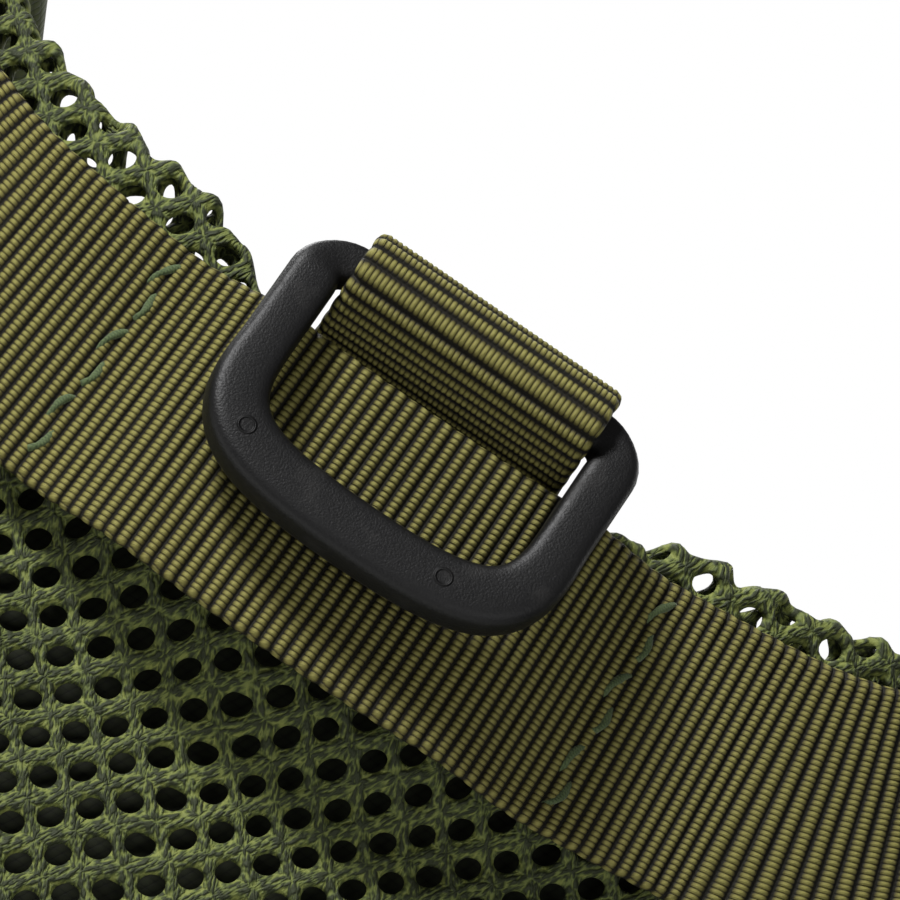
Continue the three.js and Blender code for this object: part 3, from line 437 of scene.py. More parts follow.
class Shader:
    """A material's nodes: values as expressions, and every other node through one method."""

    def __init__(self, name: str) -> None:
        """Starts an empty node material."""
        self.material = bpy.data.materials.new(name)
        self.material.use_nodes = True
        self.tree = self.material.node_tree
        self.tree.nodes.clear()

    def add(self, kind: str, settings: dict[str, Any] | None = None, *values: Any, **named: Any) -> Made:
        """Makes a node.

        Args:
            kind: The node's type.
            settings: Its own settings, which are set first. "stops" are a ramp's places and colours.
            values: Values or links for its sockets, in order; None leaves a socket as it is.
            named: Values or links for its sockets, by name with _ for a space.

        Returns:
            The node.
        """
        node = self.tree.nodes.new(kind)
        for key, setting in (settings or {}).items():
            if key == "stops":
                self._set_stops(node.color_ramp, setting)
            else:
                setattr(node, key, setting)
        pairs = list(zip(node.inputs, values))
        pairs += [(node.inputs[k.replace("_", " ")], v) for k, v in named.items()]
        for socket, value in pairs:
            if isinstance(value, Value):
                self.tree.links.new(value.socket, socket)
            elif value is not None:
                is_colour = socket.type == "RGBA" and len(value) == 3
                socket.default_value = (*value, 1.0) if is_colour else value
        return Made(self, node)

    @staticmethod
    def _set_stops(ramp: bpy.types.ColorRamp, stops: Sequence[tuple[float, Colour]]) -> None:
        """Sets a ramp's places and colours."""
        while len(ramp.elements) < len(stops):
            ramp.elements.new(0.5)
        for element, (place, shade) in zip(ramp.elements, stops):
            element.position = place
            element.color = (*shade, 1.0)

    def cloth(self) -> tuple[Value, Value]:
        """The place along and across the fabric, in metres."""
        kept = self.add("ShaderNodeAttribute", {"attribute_name": "cloth"}).out("Vector")
        parts = self.add("ShaderNodeSeparateXYZ", None, kept)
        return parts.out("X"), parts.out("Y")

    def where(self) -> Value:
        """The place in the piece's own frame, in metres."""
        return self.add("ShaderNodeTexCoord").out("Object")

    def noise(self, scale: float, detail: float = 2.0, place: Value | None = None) -> Value:
        """Soft random values from 0 to 1, with so many patches to the metre."""
        settings = {"noise_dimensions": "3D"}
        place = place or self.where()
        made = self.add("ShaderNodeTexNoise", settings, Vector=place, Scale=scale, Detail=detail)
        return made.out(0)

    def ramp(self, share: Value, *stops: tuple[float, Colour]) -> Value:
        """A colour from stops along a share."""
        return self.add("ShaderNodeValToRGB", {"stops": stops}, share).out("Color")

    def mix(self, share: Any, first: Any, second: Any) -> Value:
        """A colour between two."""
        node = self.add("ShaderNodeMix", {"data_type": "RGBA"})
        sockets = {0: share, 6: first, 7: second}
        for number, value in sockets.items():
            socket = node.node.inputs[number]
            if isinstance(value, Value):
                self.tree.links.new(value.socket, socket)
            else:
                socket.default_value = (*value, 1.0) if number else value
        return node.out(2)

    def finish(
        self, base: Value, roughness: Any, bump: Value, depth: float, **constants: Any
    ) -> bpy.types.Material:
        """Ends the material.

        Args:
            base: Its colour.
            roughness: A number or a varying value.
            bump: Heights from 0 to 1.
            depth: How deep a height of 1 is, in metres.
            constants: Numbers for the surface's own sockets, by name with _ for a space.

        Returns:
            The material.
        """
        relief = self.add("ShaderNodeBump", None, Strength=1.0, Distance=depth, Height=bump)
        surface = self.add(
            "ShaderNodeBsdfPrincipled", None,
            Base_Color=base, Roughness=roughness, Normal=relief.out(), **constants
        )
        output = self.add("ShaderNodeOutputMaterial")
        self.tree.links.new(surface.node.outputs[0], output.node.inputs[0])
        return self.material


@dataclass(frozen=True)
class Weave:
    """Heavy webbing: ribs across the strap, each a row of small beads."""

    rib_pitch: float = 1.12 * MM
    bead_pitch: float = 0.52 * MM
    rib_height: float = 0.46 * MM
    bead_share: float = 0.42

    def height(self, run: Array, across: Array) -> Array:
        """Height of the woven face above its base, along and across the strap."""
        rib = run / self.rib_pitch
        bead = across / self.bead_pitch + 0.5 * (np.floor(rib) % 2)
        return self.rib_height * dome(rib) ** 1.5 * (1 - self.bead_share * (1 - dome(bead)))


@dataclass(frozen=True)
class WebbingFinish:
    """The olive webbing of the straps and loops, with shade and highlight painted into its colour."""

    name: str = "olive_webbing"
    # The crown colour is a painted highlight on the rib tops, middle is the webbing's own olive, and the groove
    # colour is painted shade.
    crown: Colour = colour(116, 112, 60)
    middle: Colour = colour(76, 71, 34)
    groove: Colour = colour(12, 10, 3)
    weave: Weave = Weave()
    relief: float = 0.3 * MM

    def material(self) -> bpy.types.Material:
        """Ribs and beads with fibre streaks; painted shade darkens the grooves and a painted highlight
        brightens the crowns.
        """
        made = Shader(self.name)
        run, across = made.cloth()
        rib = run * (1 / self.weave.rib_pitch)
        bead = across * (1 / self.weave.bead_pitch) + (rib * 0.5).whole() * -1.0 + rib.whole() * 0.5
        ridge, beads = rib.ridge(), bead.ridge()
        fibres = made.noise(2600.0, 3.0)
        patches = made.noise(60.0, 2.0)
        strand = ((across * (1 / self.weave.bead_pitch) * 4.0 + rib * 1.5) * math.tau).sine() * 0.5 + 0.5
        height = ridge * ridge * (0.35 + 0.65 * beads) + strand * 0.06 + fibres * 0.12
        # Painted light: the colour follows the weave's height, as painted shade in the grooves and a painted
        # highlight on the crowns; the patches are the webbing's own uneven tone.
        lit = (height * 0.9 + (patches - 0.5) * 0.2).between(0.0, 1.1)
        base = made.ramp(lit, (0.0, self.groove), (0.3, self.groove), (0.62, self.middle), (1.0, self.crown))
        return made.finish(
            base, 0.66 + 0.2 * fibres, height, self.relief,
            Specular_IOR_Level=0.22,
        )


@dataclass(frozen=True)
class Knit:
    """Warp-knitted mesh: round-cornered holes in staggered rows, and a raised rim of strands round each."""

    pitch: float = 5.0 * MM
    hole_long: float = 2.5 * MM
    hole_tall: float = 1.95 * MM
    hole_turn: float = -45 * DEGREE
    squareness: float = 1.8
    thickness: float = 1.25 * MM

    def hole_reach(self, angle: Array) -> Array:
        """Distance from a hole's middle to its rim."""
        turned = angle - self.hole_turn
        long = np.abs(np.cos(turned)) / (self.hole_long / 2)
        tall = np.abs(np.sin(turned)) / (self.hole_tall / 2)
        return (long**self.squareness + tall**self.squareness) ** (-1 / self.squareness)

    def cell_reach(self, angle: Array) -> Array:
        """Distance from a hole's middle to the line that it shares with the next hole's cell."""
        return self.pitch / 2 / (np.abs(np.cos(angle)) + np.abs(np.sin(angle)))


@dataclass(frozen=True)
class KnitFinish:
    """The green knitted mesh of the panels."""

    name: str = "green_mesh"
    # The strand colour is a painted highlight on raised stitches, middle is the mesh's own green, and the shade
    # colour is painted shade.
    strand: Colour = colour(104, 110, 52)
    middle: Colour = colour(72, 81, 36)
    shade: Colour = colour(32, 38, 15)
    knit: Knit = Knit()
    stitch_long: float = 0.95 * MM
    stitch_wide: float = 0.34 * MM
    lean: float = 28 * DEGREE
    relief: float = 0.34 * MM

    def _stitches(self, made: Shader, run: Value, across: Value, lean: float) -> Value:
        """Short strands of yarn that lean from the way up the cloth."""
        along = across * math.cos(lean) + run * math.sin(lean)
        wide = run * math.cos(lean) - across * math.sin(lean)
        sockets = wide * (1 / self.stitch_wide), along * (1 / self.stitch_long), 0.0
        place = made.add("ShaderNodeCombineXYZ", None, *sockets).out()
        return made.noise(1.0, 1.0, place).between(0.3, 0.7)

    def material(self) -> bpy.types.Material:
        """Short slanting stitches; painted shade darkens the low stitches and a painted highlight brightens the
        raised ones and the rim of each hole.
        """
        made = Shader(self.name)
        run, across = made.cloth()
        first = (run + across) * (1 / self.knit.pitch)
        second = (run - across) * (1 / self.knit.pitch)
        fold_first = ((first + 0.5).fraction() - 0.5).size()
        fold_second = ((second + 0.5).fraction() - 0.5).size()
        edge = made.add("ShaderNodeMath", {"operation": "MAXIMUM"}, fold_first, fold_second).out()
        rim = 1.0 - edge.between(0.32, 0.40)
        is_second = (fold_first - fold_second).between(-0.06, 0.06)
        leaning, crossing = (self._stitches(made, run, across, lean) for lean in (self.lean, -self.lean))
        stitches = leaning * (1.0 - is_second) + crossing * is_second
        fibres = made.noise(3600.0, 3.0)
        height = stitches * 0.75 + fibres * 0.15 + rim * 0.2
        # Painted light: the colour follows the stitches' height and the raised rim, as painted shade low down
        # and a painted highlight on top.
        lit = (height * 0.85 + (made.noise(45.0) - 0.5) * 0.3).between(0.0, 1.0)
        base = made.ramp(lit, (0.0, self.shade), (0.18, self.shade), (0.55, self.middle), (1.0, self.strand))
        return made.finish(
            base, 0.66 + 0.2 * fibres, height, self.relief,
            Specular_IOR_Level=0.35,
        )


@dataclass(frozen=True)
class MouldedFinish:
    """Black moulded plastic with a fine grain and faint paler scuffs."""

    name: str = "black_moulding"
    base: Colour = colour(6, 6, 7)
    worn: Colour = colour(20, 19, 18)
    grain: float = 5200.0
    relief: float = 0.06 * MM
    marks: tuple[tuple[float, float, float], ...] = ()
    mark_radius: float = 0.75 * MM

    def material(self) -> bpy.types.Material:
        """Fine grain, faint scuffs and, where it has them, round ejector marks."""
        made = Shader(self.name)
        grain = made.noise(self.grain, 4.0)
        scuffs = made.noise(320.0, 6.0).between(0.56, 0.72)
        height = grain * 0.8
        for mark in self.marks:
            distance = made.add("ShaderNodeVectorMath", {"operation": "DISTANCE"}, made.where(), mark)
            apart = distance.out("Value")
            ring = (1.0 - (apart * (1 / self.mark_radius) - 1.0).size() * 4.0).between(0.0, 1.0)
            height = height + ring * 3.2
        base = made.mix((scuffs * 0.35 + grain * 0.25), self.base, self.worn)
        return made.finish(
            base, 0.36 + 0.22 * grain + 0.1 * scuffs, height, self.relief, Specular_IOR_Level=0.24, IOR=1.48
        )


@dataclass(frozen=True)
class ClothFinish:
    """Tightly woven cloth: the pockets, flaps and yokes, and with a larger pitch the bindings."""

    name: str
    # The light and dark colours span painted light on the weave, a highlight on the threads' tops and shade
    # between them, and the cloth's own faded patches.
    light: Colour
    dark: Colour
    pitch: float = 0.9 * MM
    slope: float = 0.0
    relief: float = 0.12 * MM
    sheen: float = 0.2

    def material(self) -> bpy.types.Material:
        """A fine weave with slubs and faded patches."""
        made = Shader(self.name)
        run, across = made.cloth()
        warp = (run * (1 / self.pitch) + across * (self.slope / self.pitch)).ridge()
        weft = (across * (1 / self.pitch)).ridge()
        slub = made.noise(900.0, 3.0)
        faded = made.noise(16.0, 4.0)
        height = warp * 0.45 + weft * 0.35 + slub * 0.2
        # Painted light: the weave's raised threads are painted lighter and the gaps between them darker as
        # painted shade; the faded patches are the cloth's own uneven tone.
        shade = (height * 0.55 + faded * 0.45).between(0.25, 0.85)
        base = made.ramp(shade, (0.0, self.dark), (1.0, self.light))
        return made.finish(
            base, 0.72 + 0.16 * slub, height, self.relief,
            Specular_IOR_Level=0.25, Sheen_Weight=self.sheen, Sheen_Roughness=0.5,
        )


@dataclass(frozen=True)
class FleeceFinish:
    """Pale wool pile."""

    name: str = "wool_pile"
    # The tip colour is the wool's own; the root colour is painted shade where the pile sinks between tufts.
    tip: Colour = colour(196, 186, 160)
    root: Colour = colour(112, 102, 78)

    def material(self) -> bpy.types.Material:
        """Curled tufts, painted darker where the pile sinks, as painted shade."""
        made = Shader(self.name)
        curls = made.noise(520.0, 5.0)
        fibres = made.noise(2600.0, 3.0)
        base = made.ramp((curls * 0.7 + fibres * 0.3).between(0.3, 0.7), (0.0, self.root), (1.0, self.tip))
        return made.finish(base, 0.9 + 0.08 * fibres, curls + fibres * 0.4, 1.2 * MM, Sheen_Weight=0.4)


@dataclass(frozen=True)
class PlainFinish:
    """The pale floor."""

    name: str = "pale_floor"
    base: Colour = colour(236, 236, 234)

    def material(self) -> bpy.types.Material:
        """Faint unevenness in a matt surface."""
        made = Shader(self.name)
        cloud = made.noise(3.0, 4.0)
        tint = tuple(c * 0.96 for c in self.base)
        return made.finish(made.mix(cloud, self.base, tint), 0.8 + 0.1 * cloud, made.noise(300.0), 0.05 * MM)


@dataclass(frozen=True)
class Finishes:
    """Every material of the vest, each made once."""

    webbing: bpy.types.Material = field(default_factory=lambda: WebbingFinish().material())
    mesh: bpy.types.Material = field(default_factory=lambda: KnitFinish().material())
    moulding: bpy.types.Material = field(default_factory=lambda: MouldedFinish().material())
    shell: bpy.types.Material = field(
        default_factory=lambda: ClothFinish("olive_shell", colour(92, 94, 52), colour(50, 54, 26)).material()
    )
    binding: bpy.types.Material = field(
        default_factory=lambda: ClothFinish(
            "dark_binding", colour(72, 80, 42), colour(28, 33, 14), 1.1 * MM, 0.6
        ).material()
    )
    # The lining is a real backing layer, and its near-black colours are partly painted shade seen through the
    # holes of the mesh.
    lining: bpy.types.Material = field(
        default_factory=lambda: ClothFinish(
            "dark_lining", colour(30, 34, 17), colour(9, 11, 5), 0.9 * MM, 0.5, 0.05 * MM, 0.0
        ).material()
    )
    thread: bpy.types.Material = field(
        default_factory=lambda: ClothFinish(
            "green_thread", colour(74, 88, 54), colour(26, 36, 18), 0.35 * MM, 1.4, 0.08 * MM, 0.1
        ).material()
    )
    fleece: bpy.types.Material = field(default_factory=lambda: FleeceFinish().material())


# ---- Mesh panels ----


class PanelCut:
    """One panel's place on the wearer: even cloth coordinates, and the edges that it is cut to."""

    columns: int = 64
    climbs: int = 90
    fold_radius: float = 0.9 * MM
    fold_allowance: float = 10 * MM
    shoulder_level: float = 0.997
    wave_depth: float = 3.5 * MM
    wave_margin: float = 30 * MM

    def __init__(self, side: Side) -> None:
        """Measures the panel's columns from its middle outwards.

        Args:
            side: Which panel.
        """
        self.side = side
        self.is_back = side is Side.BACK
        self.angles = np.linspace(0, math.pi / 2 - 0.002, self.columns)
        chest = BODY.point(self.turn(self.angles), np.full(self.columns, -1e-6))
        self.reach = along_line(chest)
        levels = np.linspace(0, 1, self.climbs)
        angle, level = np.meshgrid(self.angles, levels, indexing="ij")
        points = BODY.point(self.turn(angle), level)
        steps = np.linalg.norm(np.diff(points, axis=1), axis=2)
        self.height = np.concatenate([np.zeros((self.columns, 1)), np.cumsum(steps, axis=1)], axis=1)
        self.rises = np.linspace(0, self.height.max(), 220)
        self.level_table = np.stack([np.interp(self.rises, row, levels) for row in self.height])

    def turn(self, angle: Array) -> Array:
        """The wearer's turn at an angle from the panel's middle."""
        return angle if self.is_back else self.side.sign * (math.pi - angle)

    def _looked_up(self, table: Array, angle: Array, share: Array) -> Array:
        """A table's value at an angle, and at a share of the way along its second axis."""
        col = np.clip(np.abs(angle) / self.angles[-1] * (self.columns - 1), 0, self.columns - 1.001)
        row = np.clip(share * (table.shape[1] - 1), 0, table.shape[1] - 1.001)
        i, j = col.astype(int), row.astype(int)
        u, v = col - i, row - j
        low = lerp(table[i, j], table[i + 1, j], u)
        return lerp(low, lerp(table[i, j + 1], table[i + 1, j + 1], u), v)

    def level(self, angle: Array, up: Array) -> Array:
        """The level at a height above the chest line, measured along the cloth."""
        return np.where(up < 0, up, self._looked_up(self.level_table, angle, up / self.rises[-1]))

    def up(self, angle: Array, level: Array) -> Array:
        """The height above the chest line, along the cloth, of a level."""
        return np.where(level < 0, level, self._looked_up(self.height, angle, level))

    def angle(self, across: Array) -> Array:
        """The angle from the panel's middle at a distance across the cloth."""
        return np.sign(across) * np.interp(np.abs(across), self.reach, self.angles)

    def across(self, angle: Array) -> Array:
        """The distance across the cloth at an angle."""
        return np.sign(angle) * np.interp(np.abs(angle), self.angles, self.reach)

    def outer(self, level: Array) -> Array:
        """The angle of the armhole or side seam."""
        share = np.clip(level, 0, 1)
        return np.minimum(BODY.turn_at(BODY.armhole_half_width(share)), self.angles[-1])

    def inner(self, level: Array) -> Array:
        """The angle of the front opening's edge. The back has none."""
        if self.is_back:
            return np.full(np.shape(level), -math.pi)
        return BODY.turn_at(BODY.neck_opening(np.clip(level, 0, 1)))

    def edge_rise(self, x: Array) -> Array:
        """How far the mesh's folded neck edge stands over the strap's edge."""
        peak = np.where(x > 0, 4.6 * MM, 3.2 * MM)
        bumps = 0.35 * MM * np.sin(x * math.tau / (5 * MM))
        return lerp(-2.4 * MM, peak - self.fold_radius, smoothstep(np.abs(x), 11 * MM, 28 * MM)) + bumps

    def top(self, angle: Array) -> Array:
        """The cloth height of the panel's top edge: the shoulder, or the fold line of the back neck."""
        shoulder = self.up(angle, np.full(np.shape(angle), self.shoulder_level))
        if not self.is_back:
            return shoulder
        x = BODY.half_width * signed_power(np.sin(angle), 2 / BODY.side_roundness)
        height = BODY.neck_edge(x) + self.edge_rise(x)
        neck = self.up(angle, BODY.level_at(x, height, True))
        return np.where(np.abs(x) < BODY.neck_half_width - 2 * MM, np.minimum(neck, shoulder), shoulder)

    def kept(self, across: Array, up: Array) -> tuple[Array, Array]:
        """Cloth coordinates moved onto the panel where they lie outside it."""
        up = np.maximum(up, BODY.hem - BODY.chest)
        angle = self.angle(across)
        level = self.level(angle, up)
        outer = self.outer(level)
        angle = np.clip(angle, np.maximum(self.inner(level), -outer), outer)
        extra = self.fold_allowance if self.is_back else 0.0
        x = BODY.half_width * signed_power(np.sin(angle), 2 / BODY.side_roundness)
        fold = np.where(np.abs(x) < BODY.neck_half_width - 2 * MM, extra, 0.0)
        return self.across(angle), np.minimum(up, self.top(angle) + fold)

    def wave(self, across: Array, up: Array) -> Array:
        """How far the cloth hangs in from its drawn shape, away from its edges."""
        angle = self.angle(across)
        level = self.level(angle, up)
        margins = [
            self.across(self.outer(level)) - np.abs(across),
            np.abs(across) - self.across(np.maximum(self.inner(level), 0)) if not self.is_back else None,
            up - (BODY.hem - BODY.chest),
            self.top(angle) - up - 20 * MM,
        ]
        fade = np.ones(np.shape(across))
        for margin in margins:
            if margin is not None:
                fade = fade * smoothstep(margin, 0, self.wave_margin)
        folds = np.sin(across * 47 + 6 * up + 1.3)
        folds = folds + 0.6 * np.sin(across * 91 - 13 * up) + 0.5 * np.sin(up * 33 + 4)
        hang = -self.wave_depth * fade * (0.5 + 0.24 * folds)
        return hang + self._billow(across, self.top(angle) - up) if self.is_back else hang

    def _billow(self, across: Array, drop: Array) -> Array:
        """How the back's cloth sinks in just under the neck strap and swells out again below it."""
        near = np.exp(-((across / (62 * MM)) ** 4))
        sunk = np.exp(-(((drop - 31 * MM) / (7 * MM)) ** 2))
        swell = smoothstep(drop, 34 * MM, 62 * MM) * (1 - smoothstep(drop, 74 * MM, 150 * MM))
        return near * (-2.6 * MM * sunk + 5.5 * MM * swell * np.exp(-(((across - 22 * MM) / (44 * MM)) ** 2)))

    def points(self, across: Array, up: Array, raised: Array) -> Array:
        """Points of the cloth.

        Args:
            across: Distance across the cloth from the panel's middle.
            up: Distance up the cloth from the chest line.
            raised: Height over the cloth's middle layer.

        Returns:
            One row of x, y and z for each.
        """
        across, up = self.kept(across, up)
        angle = self.angle(across)
        top = self.top(angle)
        over = np.maximum(0, up - top) if self.is_back else np.zeros_like(up)
        half_round = math.pi * self.fold_radius
        behind = np.maximum(0, over - half_round)
        flat_up = np.where(over > 0, top - behind, up)
        level = np.minimum(self.level(angle, flat_up), self.shoulder_level)
        turn = self.turn(angle)
        base = BODY.point(turn, level)
        out = BODY.normal(turn, level)
        upward = unit(BODY.point(turn, level) - BODY.point(turn, level - 2e-3))
        bend = np.minimum(over, half_round) / self.fold_radius
        direction = out * np.cos(bend)[..., None] + upward * np.sin(bend)[..., None]
        centre = base - out * self.fold_radius
        lift = raised + self.wave(across, flat_up)
        return centre + direction * (self.fold_radius + lift)[..., None] + out * (0.6 * MM)


@dataclass
class MeshPanels:
    """The back and the two fronts, cut from knitted mesh, with the lining behind the upper back, whose
    near-black is partly painted shade seen through the holes.
    """

    knit: Knit = Knit()
    plain_points: int = 8
    close_points: int = 24
    close_half_width: float = 60 * MM
    close_depth: float = 74 * MM
    lining_depth: float = 150 * MM
    lining_half_width: float = 150 * MM

    def _cells(self, cut: PanelCut) -> Array:
        """The middles of every hole that may lie on a panel."""
        half = self.knit.pitch / 2
        count = int(cut.reach[-1] / half) + 2
        low = int((BODY.hem - BODY.chest) / half) - 2
        high = int(cut.rises[-1] / half) + 4
        col, row = np.meshgrid(np.arange(-count, count + 1), np.arange(low, high))
        staggered = (col + row) % 2 == 0
        return np.stack([col[staggered], row[staggered]], -1) * half

    def _is_close(self, cut: PanelCut, cells: Array) -> Array:
        """Which cells are near the neck strap, where the mesh has its full round section."""
        top = cut.top(cut.angle(cells[:, 0]))
        inside = (np.abs(cells[:, 0]) < self.close_half_width) & (cells[:, 1] > top - self.close_depth)
        return inside & cut.is_back

    def _section(self, is_close: bool) -> list[tuple[float, float]]:
        """Shares of the way from rim to cell edge, each with its height in half thicknesses."""
        if not is_close:
            return [(1.0, 0.55), (0.0, 0.0)]
        top = [(share, math.sqrt(1 - (1 - share) ** 2)) for share in (1.0, 0.7, 0.42, 0.2, 0.06)]
        return [*top, (0.0, 0.0), *[(share, -height) for share, height in reversed(top[0::2])]]

    def _lattice(self, name: str, cut: PanelCut, cells: Array, is_close: bool) -> bpy.types.Object:
        """Meshes one panel's cells: a ring of faces about each hole, closed where an edge crosses it."""
        count = self.close_points if is_close else self.plain_points
        angle = np.arange(count) * math.tau / count
        along = np.stack([np.cos(angle), np.sin(angle)], -1)
        section = self._section(is_close)
        rim_reach, cell_reach = self.knit.hole_reach(angle), self.knit.cell_reach(angle)
        reach = [lerp(rim_reach, cell_reach, share) for share, _ in section]
        local = np.stack([along * length[:, None] for length in reach])
        corner = cells[:, None, :] + local[0][None, :: count // self.plain_points]
        kept = np.stack(cut.kept(corner[..., 0], corner[..., 1]), -1)
        moved = np.linalg.norm(kept - corner, axis=-1) > 0.05 * MM
        cells, crossed = cells[~moved.all(1)], moved.any(1)[~moved.all(1)]
        cloth = cells[:, None, None, :] + local[None]
        raised = np.array([height for _, height in section]) * self.knit.thickness / 2
        raised = np.broadcast_to(raised[None, :, None], cloth.shape[:3])
        keys = np.rint(cloth / 1e-6).astype(np.int64) + 2_000_000
        key = (keys[..., 0] * 4_000_000 + keys[..., 1]) * 2 + (raised < -1e-9)
        _, first, number = np.unique(key.ravel(), return_index=True, return_inverse=True)
        cloth, raised = cloth.reshape(-1, 2)[first], raised.ravel()[first]
        ring = grid_faces(len(section), count, False, True)
        size = len(section) * count
        quads = number.reshape(-1)[(np.arange(len(cells))[:, None, None] * size + ring[None]).reshape(-1, 4)]
        rim = [k for k, (share, _) in enumerate(section) if share == 0][0] * count + np.arange(count)
        lids = number.reshape(-1)[np.flatnonzero(crossed)[:, None] * size + rim[None]]
        points = cut.points(cloth[:, 0], cloth[:, 1], raised)
        solid = np.linalg.norm(np.cross(points[quads[:, 2]] - points[quads[:, 0]],
                                        points[quads[:, 3]] - points[quads[:, 1]]), axis=1) > 1e-10
        return new_piece(name, points, [quads[solid], lids], cloth)

    def _lining(self) -> bpy.types.Object:
        """The sheet behind the upper back, hung just under the folded neck edge; its near-black is partly
        painted shade for the holes in front of it.
        """
        cut = PanelCut(Side.BACK)
        across = np.linspace(-self.lining_half_width, self.lining_half_width, 90)[None, :]
        drop = np.linspace(0, self.lining_depth, 50)[:, None]
        top = np.minimum(cut.top(cut.angle(across)), cut.up(cut.angle(across), np.full(across.shape, 0.95)))
        up = top - 5 * MM - drop
        across, up = np.broadcast_arrays(across, up)
        points = cut.points(across, up, np.full(up.shape, -4.2 * MM))
        return new_piece("back_lining", points, [grid_faces(*up.shape)], np.stack([across, up], -1))

    def build(self, finishes: Finishes) -> list[bpy.types.Object]:
        """Makes the panels, dresses them and returns them."""
        made = []
        for side, node in [(Side.BACK, "back_panel"), (Side.LEFT, "front_panel_left"),
                           (Side.RIGHT, "front_panel_right")]:
            cut = PanelCut(side)
            cells = self._cells(cut)
            is_close = self._is_close(cut, cells)
            panel = self._lattice(node.replace("panel", "mesh"), cut, cells[~is_close], False)
            dress(panel, finishes.mesh, "vest", node, slot="mesh")
            made.append(panel)
            finer = []
            if is_close.any():
                finer.append(self._lattice("back_neck_mesh", cut, cells[is_close], True))
                dress(finer[0], finishes.mesh, "vest", node, slot="mesh")
                made.append(finer[0])
            inside = cells[np.linalg.norm(np.stack(cut.kept(*cells.T), -1) - cells, axis=1) < 0.05 * MM]
            flat = np.ptp(inside, axis=0) + self.knit.pitch
            cloth = len(inside) * self.knit.pitch**2 / 2
            log.info("%s: cut %.3f by %.3f m, %.4f square metres", panel.name, *flat, cloth)
            area = min(cloth, flat[0] * flat[1])
        lining = self._lining()
        dress(lining, finishes.lining, "vest", "back_lining", slot="lining")
        return [*made, lining]


# ---- Webbing ----


@dataclass
class Webbing:
    """A length of webbing: a woven face, a rounded selvedge and a plain back."""

    name: str
    width: float
    thickness: float = 1.6 * MM
    step: float = 0.2 * MM
    step_across: float = 0.15 * MM
    is_woven: bool = True
    weave: Weave = Weave()

    def build(self, surface: SurfaceMap, length: float) -> bpy.types.Object:
        """Makes the webbing.

        Args:
            surface: Gives points for distances along and across it, and heights over its back face.
            length: How long it is.

        Returns:
            The closed piece.
        """
        rows = max(2, int(round(length / self.step)) + 1)
        cols = int(round(self.width / self.step_across)) + 1
        run, across = np.meshgrid(np.linspace(0, length, rows), np.linspace(-0.5, 0.5, cols) * self.width,
                                  indexing="ij")
        rim = self.width / 2 - np.abs(across)
        selvedge = np.sqrt(np.clip(rim / (0.55 * MM), 0, 1))
        height = self.thickness - (self.weave.rib_height if self.is_woven else 0)
        face = height + (self.weave.height(run, across) if self.is_woven else 0)
        loops = 0.16 * MM * dome(run / self.weave.rib_pitch / 2) * np.sign(across) * (rim < 0.35 * MM)
        top = surface(run, across + loops, lerp(0.45 * self.thickness, face, selvedge))
        ends = [0, cols - 1]
        under = surface(run[:, ends], across[:, ends] * 0.985, np.full((rows, 2), 0.12 * self.thickness))
        base = surface(run[:, ends], across[:, ends] * 0.96, np.zeros((rows, 2)))
        rings = np.concatenate([top, under[:, 1:], base[:, 1:], base[:, :1], under[:, :1]], axis=1)
        wide = np.concatenate([across, across[:, [-1, -1, 0, 0]]], axis=1)
        cloth = np.stack([np.broadcast_to(run[:, :1], wide.shape), wide], -1)
        return swept(self.name, rings, False, cloth)


def on_route(points: Array, outs: Array, across: Array) -> tuple[SurfaceMap, float]:
    """A surface for webbing that follows a route.

    Args:
        points: The route along the middle of its back face.
        outs: Directions out of its woven face.
        across: Directions across it.

    Returns:
        The surface and the route's length.
    """
    length = along_line(points)

    def held(values: Array, run: Array) -> Array:
        return np.stack([np.interp(run, length, values[:, axis]) for axis in range(3)], -1)

    def surface(run: Array, wide: Array, height: Array) -> Array:
        side, out = unit(held(across, run)), unit(held(outs, run))
        return held(points, run) + side * wide[..., None] + out * height[..., None]

    return surface, float(length[-1])


def moved(matrix: Matrix, points: Array) -> Array:
    """Points taken through a frame."""
    rows = np.array(matrix)
    return points @ rows[:3, :3].T + rows[:3, 3]


